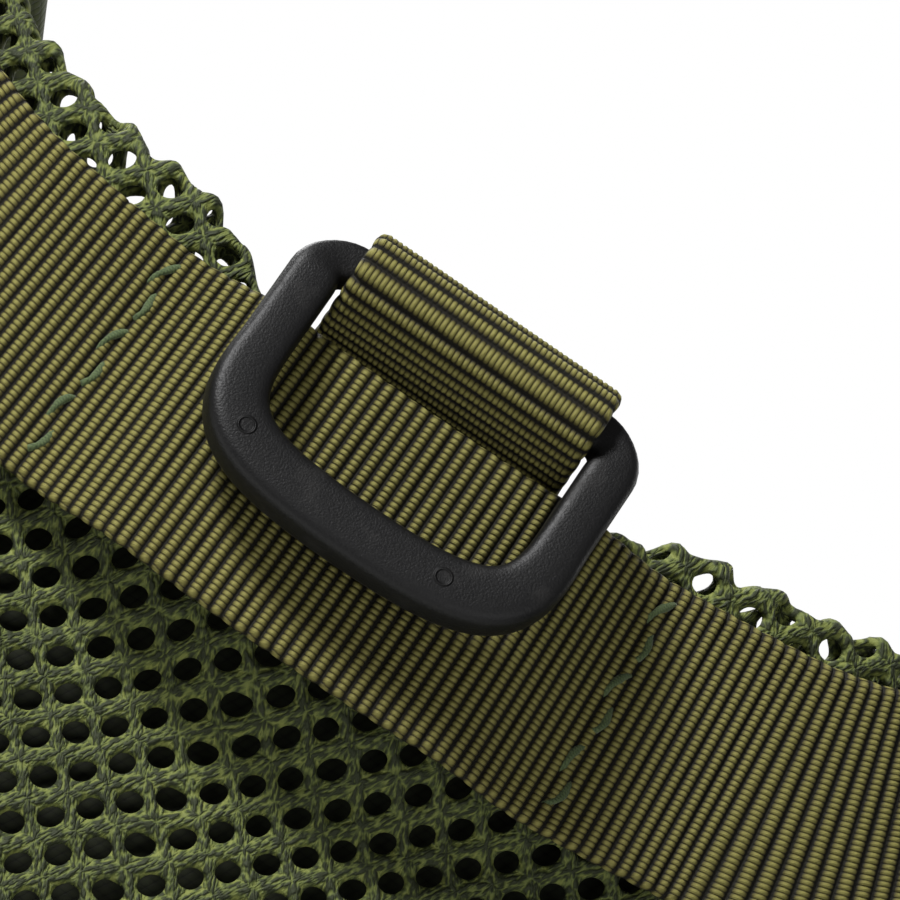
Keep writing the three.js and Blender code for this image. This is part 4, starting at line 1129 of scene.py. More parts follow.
@dataclass
class LoopRoute:
    """The side view of a webbing loop: two legs on the panel and a round fold about a ring's bar."""

    inner_radius: float
    rise: float
    tail: float
    centre_y: float
    seat: float = 0.0
    thickness: float = 1.6 * MM
    gap: float = 0.35 * MM

    @property
    def centre_z(self) -> float:
        """Height of the fold's middle."""
        return self.seat + self.rise - self.inner_radius - self.thickness

    def inner_line(self) -> tuple[Array, Array]:
        """The loop's inner face as points of y and z, with its outward directions."""
        half = self.thickness / 2
        radius = self.inner_radius + half
        front = self.thickness + self.gap + half
        leg_top = self.seat + 1.5 * MM
        foot = self.seat - self.tail
        leave, arrive = lerp(leg_top, self.centre_z, 0.25), lerp(leg_top, self.centre_z, 0.45)
        share = np.linspace(0, 1, 24)[:, None]

        def bezier(*corners: tuple[float, float]) -> Array:
            a, b, c, d = (np.array(corner) for corner in corners)
            rest = 1 - share
            return rest**3 * a + 3 * rest**2 * share * b + 3 * rest * share**2 * c + share**3 * d

        y = self.centre_y
        turns = np.linspace(math.pi, 0, 40)
        fold = np.stack([y + radius * np.cos(turns), self.centre_z + radius * np.sin(turns)], -1)
        up = bezier((half, leg_top), (half, leave), (y - radius, arrive), (y - radius, self.centre_z))
        down = bezier((y + radius, self.centre_z), (y + radius, arrive), (front, leave), (front, leg_top))
        line = np.concatenate([[(half, foot)], up, fold[1:-1], down, [(front, foot)]])
        line, = evenly(line, 0.25 * MM)
        along = unit(np.gradient(line, axis=0))
        out = np.stack([-along[:, 1], along[:, 0]], -1)
        return line - out * half, out

    def webbing(self, name: str, matrix: Matrix, width: float, step: float, step_across: float,
                is_woven: bool = True) -> bpy.types.Object:
        """Makes the loop's webbing in a frame on the panel."""
        line, out = self.inner_line()
        flat = np.zeros(len(line))
        points = moved(matrix, np.stack([flat, line[:, 0], line[:, 1]], -1))
        turn = np.array(matrix)[:3, :3]
        outs = np.stack([flat, out[:, 0], out[:, 1]], -1) @ turn.T
        across = np.broadcast_to(turn[:, 0], points.shape)
        surface, length = on_route(points, outs, across)
        return Webbing(name, width, self.thickness, step, step_across, is_woven).build(surface, length)


@dataclass
class HangingRing:
    """A moulded D-ring that hangs from a straight bar at its own origin."""

    width: float
    depth: float
    arm: float
    base: float
    bar: float
    thickness: float
    bar_thickness: float
    top_corner: float
    stations: int = 220
    around: int = 32
    squareness: float = 4.2

    def _outline(self) -> tuple[Array, float]:
        """The middle line of the ring, from the bar's middle round and back, and its foot's height."""
        half = (self.width - self.arm) / 2
        foot = -(self.depth - self.bar / 2 - self.base / 2)
        shoulder, corner = foot * 0.6, self.top_corner
        share = np.linspace(0, 1, 60)[:, None]
        bend = np.linspace(math.pi / 2, 0, 14)
        rest = 1 - share
        ends = ((half, shoulder), (half, foot * 0.93), (half * 0.72, foot), (0, foot))
        blends = (rest**3, 3 * rest**2 * share, 3 * rest * share**2, share**3)
        side = sum(blend * np.array(end) for blend, end in zip(blends, ends))
        turned = np.stack([half - corner + corner * np.cos(bend), -corner + corner * np.sin(bend)], -1)
        right = np.concatenate([[(0.0, 0.0)], turned, side])
        left = right[-2::-1] * (-1, 1)
        line, = evenly(np.concatenate([right, left]), (self.width + self.depth) * 2 / self.stations)
        return line[:-1], foot

    def build(self, name: str, matrix: Matrix) -> bpy.types.Object:
        """Makes the ring in a frame, with its flat face and rounded edges."""
        line, foot = self._outline()
        along = unit(np.roll(line, -1, axis=0) - np.roll(line, 1, axis=0))
        to_foot = smoothstep(line[:, 1] / foot, 0.45, 0.95)
        to_arm = smoothstep(-line[:, 1], 0, self.top_corner)
        stock = lerp(lerp(self.bar, self.arm, to_arm), self.base, to_foot) / 2
        deep = lerp(self.bar_thickness, self.thickness, to_arm) / 2
        angle = np.arange(self.around) * math.tau / self.around
        out = signed_power(np.cos(angle), 2 / self.squareness)[None, :] * stock[:, None]
        face = signed_power(np.sin(angle), 2 / self.squareness)[None, :] * deep[:, None]
        x = line[:, :1] + along[:, 1:] * out
        z = line[:, 1:] - along[:, :1] * out
        rings = moved(matrix, np.stack([x, face, z], -1).reshape(-1, 3)).reshape(len(line), self.around, 3)
        return swept(name, rings, True)


@dataclass
class Stitching:
    """A row of thread stitches, each sunk at its ends and lightly twisted."""

    stitch: float = 2.7 * MM
    gap: float = 1.1 * MM
    radius: float = 0.26 * MM
    lean: float = 0.0
    stations: int = 7
    around: int = 6

    def build(self, name: str, lines: Sequence[tuple[Array, Array]]) -> bpy.types.Object:
        """Makes the stitches of several seams as one piece.

        Args:
            name: The piece's name.
            lines: For each seam its points and the outward directions there.

        Returns:
            The piece.
        """
        points, faces, base = [], [], 0
        share = np.linspace(0, 1, self.stations)
        turn = np.arange(self.around) * math.tau / self.around
        for line, outs in lines:
            length = along_line(line)
            count = int((length[-1] - self.gap) / (self.stitch + self.gap))
            start = (length[-1] - count * (self.stitch + self.gap) + self.gap) / 2
            for k in range(count):
                at = start + k * (self.stitch + self.gap) + share * self.stitch
                middle, out = (
                    np.stack([np.interp(at, length, v[:, i]) for i in range(3)], -1) for v in (line, outs)
                )
                out = unit(out)
                along = unit(np.gradient(middle, axis=0))
                side = np.cross(along, out)
                lift = np.sin(share * math.pi) ** 0.6 * 1.5 * self.radius - 0.9 * self.radius
                middle = middle + out * lift[:, None] + side * ((share - 0.5) * self.lean)[:, None]
                twist = turn[None, :] + share[:, None] * 5
                girth = self.radius * (1 + 0.18 * np.cos(2 * twist))
                ring = middle[:, None] + (side[:, None] * np.cos(turn)[None, :, None]
                                          + out[:, None] * np.sin(turn)[None, :, None]) * girth[..., None]
                points.append(ring.reshape(-1, 3))
                size = self.stations * self.around
                faces.append((grid_faces(self.stations, self.around, False, True) + base, base, size))
                base += size
        quads = np.concatenate([quad for quad, _, _ in faces])
        first = np.arange(self.around)
        caps = np.concatenate([
            [begin + first[::-1], begin + size - self.around + first] for _, begin, size in faces
        ])
        rows = np.concatenate(points)
        cloth = np.stack([rows[:, 0] + rows[:, 2], rows[:, 1] - rows[:, 2]], -1)
        return new_piece(name, rows, facing_out(rows, [quads, caps]), cloth)

    def sew(
        self, name: str, lines: Sequence[tuple[Array, Array]], finishes: Finishes, body: str = "vest"
    ) -> None:
        """Makes the stitches along the lines and dresses them in thread."""
        dress(self.build(name, lines), finishes.thread, body)


@dataclass
class NeckStrap:
    """The strap along the back neck, the loop behind it and the moulded ring for a landing net."""

    half_span: float = 58 * MM
    width: float = 25 * MM
    edge_drop: float = 0.6 * MM
    stitch_at: float = 25 * MM
    bulge_half_width: float = 13.2 * MM
    loop_tail: float = 19 * MM
    loop_rise: float = 11.5 * MM
    seat: float = 1.55 * MM
    layer: float = 1.95 * MM
    ring_tilt: float = 12 * DEGREE
    bar_clearance: float = 0.45 * MM
    ring_width: float = 35.4 * MM
    ring_depth: float = 25.9 * MM
    ring_arm: float = 4.7 * MM
    ring_base: float = 5.6 * MM
    ring_thickness: float = 4.2 * MM
    ring_bevel: float = 1.1 * MM
    ring_corner: float = 3 * MM
    bar: float = 3.8 * MM
    bar_thickness: float = 3.2 * MM
    mark_at: tuple[tuple[float, float, float], ...] = (
        (12.6 * MM, 2.1 * MM, -19.2 * MM), (-8.4 * MM, 2.1 * MM, -20.6 * MM),
    )

    def _bulge(self, x: Array) -> Array:
        """How far the strap stands off the panel over the legs of the loop."""
        share = (self.stitch_at - np.abs(x)) / (self.stitch_at - self.bulge_half_width)
        return (2 * self.layer + 0.7 * MM) * smoothstep(share)

    def _lean(self) -> float:
        """Length along the leaning upper back for each unit of height."""
        near = BODY.place(0.0, 0.0, True)
        far = BODY.place(0.0, -20 * MM, True)
        return math.hypot(1, (near[1] - far[1]) / (20 * MM))

    def surface(self, run: Array, across: Array, height: Array) -> Array:
        """The strap's points: along it from -X to +X, across it upwards, and over its back face."""
        x = run - self.half_span
        slope = (BODY.neck_edge(x + 0.5 * MM) - BODY.neck_edge(x - 0.5 * MM)) / MM
        length = np.hypot(1, slope)
        down = self.edge_drop + self.width / 2 - across
        z = BODY.neck_edge(x) - down / length / self._lean()
        return BODY.place(x + down * slope / length, z, True, self.seat + self._bulge(x) + height)

    def middle(self) -> Vector:
        """The point of the strap's face that the camera looks at."""
        place = (self.half_span - 2.6 * MM, self.width / 2 - 1.9 * MM, 1.6 * MM)
        at = self.surface(*(np.array([value]) for value in place))
        return Vector(at[0])

    def build(self, finishes: Finishes) -> None:
        """Makes the strap, its stitching, the loop and the ring."""
        strap = Webbing("back_neck_strap_webbing", self.width).build(self.surface, 2 * self.half_span)
        dress(strap, finishes.webbing, "vest", "back_neck_strap", slot="webbing")
        seams = []
        for x in (-self.stitch_at, self.stitch_at):
            across = np.linspace(-self.width / 2 + 1.2 * MM, self.width / 2 - 0.6 * MM, 40)
            run = np.full(40, self.half_span + x) + 0.5 * MM * np.sin(across * 900)
            low, high = (self.surface(run, across, np.full(40, h)) for h in (1.25 * MM, 2.25 * MM))
            seams.append((low, unit(high - low)))
        stitching = Stitching(3.3 * MM, 0.7 * MM, 0.36 * MM, 0.8 * MM, 11, 8)
        stitching.sew("back_neck_strap_stitching", seams, finishes)
        seat_z = -self.edge_drop - self.loop_tail / 2
        matrix = BODY.frame_on(0.0, seat_z, True, self.seat)
        inner = math.hypot(self.bar / 2, self.ring_thickness / 2 - self.ring_bevel) + self.bar_clearance
        stand_off = 2 * self.layer + 2.4 * MM
        route = LoopRoute(inner, self.loop_rise, self.loop_tail, stand_off, self.loop_tail / 2)
        loop = route.webbing("ring_loop_webbing", matrix, self.width, 0.2 * MM, 0.15 * MM)
        dress(loop, finishes.webbing, "vest", "ring_loop", slot="webbing")
        centre = Matrix.Translation((0, route.centre_y, route.centre_z))
        place = matrix @ (centre @ Matrix.Rotation(self.ring_tilt, 4, "X"))
        ring = HangingRing(self.ring_width, self.ring_depth, self.ring_arm, self.ring_base, self.bar,
                           self.ring_thickness, self.bar_thickness, self.ring_corner)
        marks = tuple(tuple(place @ Vector(mark)) for mark in self.mark_at)
        material = MouldedFinish("net_ring_moulding", marks=marks).material()
        dress(ring.build("net_ring_moulding", place), material, "net_ring", "net_ring", slot="moulded_black")


# ---- Bindings ----


@dataclass
class Binding:
    """A folded tape that closes over a cut edge, with one row of stitches."""

    name: str
    node: str
    width: float = 10 * MM
    lift: float = 0.9 * MM
    half_thickness: float = 1.9 * MM
    overhang: float = 0.8 * MM
    around: int = 16
    step: float = 3.2 * MM
    squareness: float = 3.0

    def build(self, line: Array, outs: Array, turn: int, joined: bool, finishes: Finishes) -> None:
        """Makes the tape and its stitches along an edge.

        Args:
            line: Points of the cut edge.
            outs: Outward directions at those points.
            turn: +1 or -1, for the side of the line that the fabric is on.
            joined: Whether the edge is a closed ring.
            finishes: The materials.
        """
        line, outs = evenly(line, self.step, outs)
        if joined:
            line, outs = line[:-1], outs[:-1]
            along = unit(np.roll(line, -1, axis=0) - np.roll(line, 1, axis=0))
        else:
            along = unit(np.gradient(line, axis=0))
        outs = unit(outs)
        inward = unit(np.cross(outs, along)) * turn
        angle = np.arange(self.around) * math.tau / self.around
        wide = signed_power(np.cos(angle), 2 / self.squareness) * self.width / 2
        wide = wide + self.width / 2 - self.overhang
        run = along_line(line)
        pucker = 1 + 0.09 * np.sin(run * 590) + 0.07 * np.sin(run * 233 + 2)
        thick = signed_power(np.sin(angle), 2 / self.squareness)[None, :] * self.half_thickness
        thick = thick * pucker[:, None]
        rings = line[:, None] + inward[:, None] * wide[None, :, None]
        rings = rings + outs[:, None] * (self.lift + thick)[..., None]
        girth = np.broadcast_to(angle * self.width / math.pi, thick.shape)
        cloth = np.stack([np.broadcast_to(run[:, None], thick.shape), girth], -1)
        tape = swept(self.name, rings, joined, cloth)
        dress(tape, finishes.binding, "vest", self.node, slot="binding")
        seam = line + inward * (self.width * 0.72) + outs * (self.lift + self.half_thickness * 0.97)
        if joined:
            seam, outs = np.concatenate([seam, seam[:1]]), np.concatenate([outs, outs[:1]])
        Stitching().sew(self.name + "_stitching", [(seam, outs)], finishes)


@dataclass
class EdgeBindings:
    """The tapes round the hem, the armholes and the edges of the front opening."""

    front_low: float = 0.02
    front_high: float = 0.97

    def _line(self, turn: Array, level: Array) -> tuple[Array, Array]:
        """Points and outward directions along a line of turns and levels."""
        return BODY.point(turn, level), BODY.normal(turn, level)

    def build(self, finishes: Finishes) -> None:
        """Makes every binding."""
        share = np.linspace(0, 1, 500)
        hem_turn = math.pi - float(BODY.turn_at(np.float64(BODY.zip_edge + MM)))
        hem = self._line(lerp(-hem_turn, hem_turn, share), np.full(500, BODY.hem - BODY.chest))
        Binding("hem_tape", "hem_binding").build(*hem, -1, False, finishes)
        for side in (Side.LEFT, Side.RIGHT):
            rise = (1 - np.abs(2 * share - 1)) ** 2
            level = np.where(share < 0.5, rise, 2 - rise)
            turn = side.sign * np.minimum(BODY.turn_at(BODY.armhole_half_width(rise)), math.pi / 2)
            hole = self._line(turn, level)
            Binding("armhole_tape_" + side.word, "armhole_binding_" + side.word).build(
                *hole, -side.sign, True, finishes)
            climb = lerp(self.front_low, self.front_high, share)
            front = self._line(side.sign * (math.pi - BODY.turn_at(BODY.neck_opening(climb))), climb)
            Binding("front_edge_tape_" + side.word, "front_edge_binding_" + side.word).build(
                *front, -side.sign, False, finishes)


# ---- Padded shoulder yokes ----


@dataclass
class ShoulderYokes:
    """Padded yokes over the shoulders, sewn through in channels and puffed by a cloth simulation."""

    inner: float = 91 * MM
    outer: float = 158 * MM
    reach: float = 0.26
    seat: float = 1.9 * MM
    thickness: float = 3.4 * MM
    seam_thickness: float = 1.5 * MM
    channels: int = 4
    rows: int = 61
    cols: int = 25
    pressure: float = 5.0
    frames: int = 14
    most_swell: float = 3.2 * MM

    def _surface(self, side: Side, across: Array, along: Array, height: Array) -> Array:
        """Points of a yoke, across it from the neck, along it from front to back, and over the panel."""
        inner, outer = (float(BODY.turn_at(np.float64(x))) for x in (self.inner, self.outer))
        turn = side.sign * lerp(inner, outer, across)
        level = lerp(1 - self.reach, 1 + self.reach, along)
        return BODY.off(turn, level, self.seat + height)

    def _puff(self, pad: bpy.types.Object, held: Array) -> None:
        """Blows the pad up between its seams, and caps how far a point may move."""
        rest = np.zeros(len(pad.data.vertices) * 3, np.float32)
        pad.data.vertices.foreach_get("co", rest)
        group = pad.vertex_groups.new(name="sewn")
        group.add(np.flatnonzero(held).tolist(), 1.0, "REPLACE")
        cloth = pad.modifiers.new("stuffing", "CLOTH")
        cloth.settings.quality = 5
        cloth.settings.mass = 0.2
        cloth.settings.vertex_group_mass = "sewn"
        cloth.settings.use_pressure = True
        cloth.settings.uniform_pressure_force = self.pressure
        cloth.settings.tension_stiffness = 12
        cloth.settings.effector_weights.gravity = 0
        scene = bpy.context.scene
        for step in range(1, self.frames + 1):
            scene.frame_set(step)
        done = pad.evaluated_get(bpy.context.evaluated_depsgraph_get())
        swollen = np.zeros_like(rest)
        done.data.vertices.foreach_get("co", swollen)
        pad.modifiers.clear()
        scene.frame_set(1)
        shift = (swollen - rest).reshape(-1, 3)
        far = np.linalg.norm(shift, axis=1, keepdims=True)
        shift *= np.minimum(1, self.most_swell / np.maximum(far, 1e-9))
        pad.data.vertices.foreach_set("co", (rest.reshape(-1, 3) + shift).ravel())
        pad.data.update()

    def build(self, finishes: Finishes) -> None:
        """Makes both yokes with their stitching."""
        u, v = np.meshgrid(np.linspace(0, 1, self.cols), np.linspace(0, 1, self.rows))
        seam_rows = np.linspace(0, self.rows - 1, self.channels + 1).round().astype(int)
        is_seam = np.isin(np.arange(self.rows), seam_rows)[:, None] | (u == 0) | (u == 1)
        for side in (Side.LEFT, Side.RIGHT):
            low = self._surface(side, u, v, np.zeros(u.shape))
            high = self._surface(side, u, v, np.where(is_seam, self.seam_thickness, self.thickness))
            points = np.concatenate([low.reshape(-1, 3), high.reshape(-1, 3)])
            size = self.rows * self.cols
            sheet = grid_faces(self.rows, self.cols)
            edge = np.concatenate([np.arange(self.cols), (np.arange(1, self.rows) + 1) * self.cols - 1,
                                   (self.rows - 1) * self.cols + np.arange(self.cols - 2, -1, -1),
                                   np.arange(self.rows - 2, 0, -1) * self.cols])
            after = np.roll(edge, -1)
            wall = np.stack([edge, after, after + size, edge + size], -1)
            faces = facing_out(points, [np.concatenate([sheet[:, ::-1], sheet + size, wall])])
            wide = np.linalg.norm(np.diff(high, axis=1), axis=2).sum(1).mean()
            long = np.linalg.norm(np.diff(high, axis=0), axis=2).sum(0).mean()
            cloth = np.tile(np.stack([u * wide, v * long], -1).reshape(-1, 2), (2, 1))
            pad = new_piece("shoulder_yoke_pad_" + side.word, points, faces, cloth)
            under = np.concatenate([np.ones(size, bool), is_seam.ravel()])
            self._puff(pad, under)
            soften(pad, 0, 1)
            dress(pad, finishes.shell, "vest", "shoulder_yoke_" + side.word, slot="shell_cloth")
            across, along = np.linspace(0.05, 0.95, 60), np.linspace(0.02, 0.98, 90)
            height = self.seam_thickness + 0.35 * MM
            seams = []
            for row in seam_rows:
                share = np.clip(row / (self.rows - 1), 0.02, 0.98)
                seams.append((across, np.full(60, share)))
            seams += [(np.full(90, 0.05), along), (np.full(90, 0.95), along)]
            lines = []
            for a, b in seams:
                line = self._surface(side, a, b, np.full(len(a), height))
                lines.append((line, unit(line - self._surface(side, a, b, np.zeros(len(a))))))
            stitching = Stitching(3.0 * MM, 1.2 * MM, 0.32 * MM)
            stitching.sew("shoulder_yoke_stitching_" + side.word, lines, finishes)


# ---- Pockets ----


@dataclass
class Pocket:
    """A sewn pouch with a rounded, slightly sagging front, a folded mouth and, on some, a hanging flap."""

    name: str
    node: str
    side: Side
    x: float
    top: float
    width: float
    height: float
    depth: float
    drop: float = 0.0
    seat: float = 1.9 * MM
    crown: float = 3.0 * MM
    hem: float = 14 * MM
    wall: float = 1.3 * MM
    flap_overlap: float = 5 * MM
    hinge_y: float = 1.7 * MM
    flap_thickness: float = 2.0 * MM

    @property
    def is_back(self) -> bool:
        """Whether the pocket is on the back."""
        return self.side is Side.BACK

    def _matrix(self) -> Matrix:
        """The pocket's upright frame at the middle of its mouth."""
        return BODY.frame_on(self.x, self.top, self.is_back, self.seat, True)

    def _on_panel(self, x: Array, z: Array) -> Array:
        """Places of the panel under the pocket, in the pocket's frame."""
        matrix = self._matrix()
        flat = moved(matrix, np.stack([x, np.zeros_like(x), z], -1))
        point = BODY.place(flat[..., 0], flat[..., 2], self.is_back, self.seat)
        return moved(matrix.inverted(), point)

    def _front(self, x: Array, z: Array) -> Array:
        """How far the front of the pocket stands out at x and z of its frame."""
        side = np.abs(x) / (self.width / 2)
        low = -z / self.height
        round_side = np.sqrt(np.clip(1 - side**9, 0, 1))
        round_foot = np.sqrt(np.clip(1 - np.clip(low, 0, 1) ** 11, 0, 1))
        belly = self.crown * (1 - side**2) * (0.35 + 0.9 * np.clip(low, 0, 1) * (1 - np.clip(low, 0, 1) ** 3))
        folds = 0.7 * MM * np.sin(x * 95 + z * 22) * np.sin(z * 70 + 1.7) * (1 - side**4)
        return (self.depth - 1.5 * MM + belly + folds) * round_side * round_foot

    def _shell(self) -> bpy.types.Object:
        """The pouch: one sheet from panel to panel round its front, gathered in at its foot."""
        cols, rows = 64, 40
        u = np.linspace(-1, 1, cols)
        x = (np.sign(u) * (1 - (1 - np.abs(u)) ** 1.7)) * self.width / 2
        v = 1 - (1 - np.linspace(0, 1, rows)) ** 1.5
        z = -v * self.height
        grid_x, grid_z = np.meshgrid(x, z)
        panel = self._on_panel(grid_x, grid_z)
        front = np.maximum(self._front(grid_x, grid_z), panel[..., 1])
        tuck = 1.2 * MM * np.exp(-(((grid_z + self.hem) / (1.6 * MM)) ** 2))
        gather = 1 - 0.03 * np.sin(np.clip(-grid_z / self.height, 0, 1) * math.pi)
        shape = np.stack([grid_x * gather, np.maximum(front - tuck, panel[..., 1]), grid_z], -1)
        points = moved(self._matrix(), shape.reshape(-1, 3))
        cloth = np.stack([grid_x + grid_z * 0.02, grid_z], -1)
        faces = [grid_faces(rows, cols)]
        return new_piece(self.name + "_cloth", points, faces, cloth)

    def _seam_lines(self) -> list[tuple[Array, Array]]:
        """Stitch lines: two across the folded mouth and one round the foot and sides."""
        lines = []
        edge = self.width / 2 - 6 * MM
        across = np.linspace(-edge, edge, 80)
        for z in (-3 * MM, -self.hem + 1.5 * MM):
            lines.append((across, np.full(80, z)))
        foot = -self.height + 8 * MM
        lines.append((across, np.full(80, foot)))
        down = np.linspace(-4 * MM, foot, 60)
        lines += [(np.full(60, edge), down), (np.full(60, -edge), down)]
        made = []
        for x, z in lines:
            tuck = 1.2 * MM * np.exp(-(((z + self.hem) / (1.6 * MM)) ** 2))
            shape = np.stack([x, self._front(x, z) - tuck + 0.15 * MM, z], -1)
            out = np.broadcast_to(np.array(self._matrix())[:3, 1], shape.shape)
            made.append((moved(self._matrix(), shape), out))
        return made

    def _flap_profile(self) -> tuple[Array, Array]:
        """The flap's outer line from its seam to its hem, as y and z in the pocket's frame."""
        front = self.hinge_y + self.depth + 0.7 * MM + self.flap_thickness
        rise = self.flap_overlap + 0.4 * MM
        start = np.array([self.hinge_y - 0.3 * MM, rise + self.flap_thickness * 0.9])
        shoulder = np.array([front - 1.0 * MM, rise - self.flap_overlap + self.flap_thickness * 0.8])
        lip = np.array([front + 0.6 * MM, rise - self.drop])
        share = np.linspace(0, 1, 40)[:, None]
        slope = lerp(start, shoulder, share) + np.array([0, 1.2 * MM]) * np.sin(share * math.pi)
        bend = shoulder + np.array([1.0 * MM, -3 * MM])
        fall = lerp(bend, lip, share)
        line = np.concatenate([slope, fall])
        line, = evenly(line, 1.1 * MM)
        for _ in range(3):
            line[1:-1] = (line[:-2] + 2 * line[1:-1] + line[2:]) / 4
        along = unit(np.gradient(line, axis=0))
        return line, np.stack([-along[:, 1], along[:, 0]], -1) * -1

    def _flap(self, finishes: Finishes) -> None:
        """The flap with rounded lower corners, a turned hem and two rows of stitches."""
        line, normal = self._flap_profile()
        if normal[-1, 0] < 0:
            normal = -normal
        rows, cols = len(line), 61
        run = along_line(line)
        wide = self.width + 4 * MM
        corner = 12 * MM
        left = run[-1] - run
        rounded = corner - np.sqrt(np.clip(corner**2 - (corner - left) ** 2, 0, None))
        inset = np.where(left < corner, rounded, 0)
        u = np.linspace(-1, 1, cols)
        x = u[None, :] * (wide / 2 - inset)[:, None]
        hang = smoothstep(run / run[-1], 0.3, 1.0)[:, None]
        wave = hang * (0.7 * MM * np.sin(x * 75 + 1) + 0.5 * MM * np.sin(x * 160))
        edge = np.minimum(wide / 2 - np.abs(x), left[:, None])
        rim = 0.5 * MM * smoothstep(edge, 5.5 * MM, 4.2 * MM)
        out = np.maximum(wave, -0.3 * MM) + rim
        y = line[:, :1] + normal[:, :1] * out
        z = line[:, 1:] + normal[:, 1:] * out
        points = moved(self._matrix(), np.stack([x, y, z], -1).reshape(-1, 3))
        cloth = np.stack([x, np.broadcast_to(run[:, None], x.shape)], -1)
        name = self.name.replace("pocket", "flap")
        flap = new_piece(name + "_cloth", points, [grid_faces(rows, cols)], cloth)
        soften(flap, self.flap_thickness * 0.8, 1)
        body = self.node.replace("pocket", "flap")
        dress(flap, finishes.shell, body, body, slot="shell_cloth")
        lines = []
        turn = np.array(self._matrix())[:3, :3]
        for margin in (2.6 * MM, 6.6 * MM):
            stop = int(np.searchsorted(run, run[-1] - margin))
            down = np.arange(3, stop)
            half = wide / 2 - margin - inset[down]
            foot = np.linspace(half[-1], -half[-1], 60)
            xs = np.concatenate([half, foot[1:-1], -half[::-1]])
            at = np.concatenate([down, np.full(58, down[-1]), down[::-1]])
            lift = 0.35 * MM + np.where(margin < 5 * MM, 0.4 * MM, 0.0)
            place = np.stack([xs, line[at, 0] + normal[at, 0] * lift, line[at, 1] + normal[at, 1] * lift], -1)
            outs = np.stack([np.zeros(len(at)), normal[at, 0], normal[at, 1]], -1) @ turn.T
            lines.append((moved(self._matrix(), place), outs))
        Stitching().sew(name + "_stitching", lines, finishes, body)

    def build(self, finishes: Finishes) -> None:
        """Makes the pocket, its stitches and its flap."""
        shell = self._shell()
        soften(shell, self.wall, 1)
        dress(shell, finishes.shell, "vest", self.node, slot="shell_cloth")
        Stitching().sew(self.name + "_stitching", self._seam_lines(), finishes)
        if self.drop:
            self._flap(finishes)


def pockets() -> list[Pocket]:
    """The chest and lower pockets of both sides, and the open pouch on the back."""
    made = []
    for side in (Side.LEFT, Side.RIGHT):
        word = side.word
        chest, lower = "chest_pocket_" + word, "lower_pocket_" + word
        made.append(Pocket(chest, chest, side, side.sign * 98 * MM, top=-172 * MM,
                           width=104 * MM, height=112 * MM, depth=17 * MM, drop=40 * MM))
        made.append(Pocket(lower, lower, side, side.sign * 102 * MM, top=-330 * MM,
                           width=136 * MM, height=172 * MM, depth=27 * MM, drop=52 * MM))
    made.append(Pocket("rear_pouch", "rear_pouch", Side.BACK, 0.0, top=-345 * MM,
                       width=250 * MM, height=185 * MM, depth=12 * MM, hem=22 * MM))
    return made


# ---- Fly patch ----


@dataclass
class FlyPatch:
    """A patch of wool pile with a stitched tape border, where flies are hooked to dry."""

    x: float = 120 * MM
    z: float = -118 * MM
    width: float = 62 * MM
    height: float = 40 * MM
    thickness: float = 6 * MM
    pile: float = 1.5 * MM
    seat: float = 1.9 * MM

    def build(self, finishes: Finishes) -> None:
        """Makes the patch with its curled pile, and the border with its stitches."""
        matrix = BODY.frame_on(self.x, self.z, False, self.seat)
        cols, rows = 150, 100
        u, v = np.meshgrid(np.linspace(-1, 1, cols), np.linspace(-1, 1, rows))
        x, z = u * self.width / 2, v * self.height / 2
        flat = moved(matrix, np.stack([x, np.full(x.shape, self.thickness), z], -1))
        under = BODY.place(flat[..., 0], flat[..., 2], False, self.seat)
        edge = np.sqrt(np.clip((1 - np.abs(u) ** 6) * (1 - np.abs(v) ** 6), 0, 1))
        curls = np.sin(x * 2600 + 2.5 * np.sin(z * 1900)) * np.sin(z * 2400 + 2.2 * np.sin(x * 1700))
        tufts = 0.6 * curls + 0.4 * np.sin(x * 5200 + 3 * z * 1000) * np.sin(z * 4700 - x * 900)
        out = np.array(matrix)[:3, 1]
        top = lerp(under, flat, edge[..., None]) + out * (self.pile * tufts * edge * 0.5)[..., None]
        points = np.concatenate([top.reshape(-1, 3)])
        pile = new_piece("fly_patch_pile", points, [grid_faces(rows, cols)], np.stack([x, z], -1))
        dress(pile, finishes.fleece, "vest", "fly_patch", slot="fleece")
        turns = np.linspace(0, math.tau, 160)
        ring_x = signed_power(np.cos(turns), 0.35) * (self.width / 2 - 0.5 * MM)
        ring_z = signed_power(np.sin(turns), 0.35) * (self.height / 2 - 0.5 * MM)
        flat = moved(matrix, np.stack([ring_x, np.zeros(160), ring_z], -1))
        line = BODY.place(flat[:, 0], flat[:, 2], False, self.seat)
        outs = np.broadcast_to(out, line.shape)
        ring = Binding("fly_patch_border", "fly_patch", 6 * MM, 1.1 * MM, 1.7 * MM, 3 * MM)
        ring.build(line, outs, -1, True, finishes)


# ---- Tool rings ----


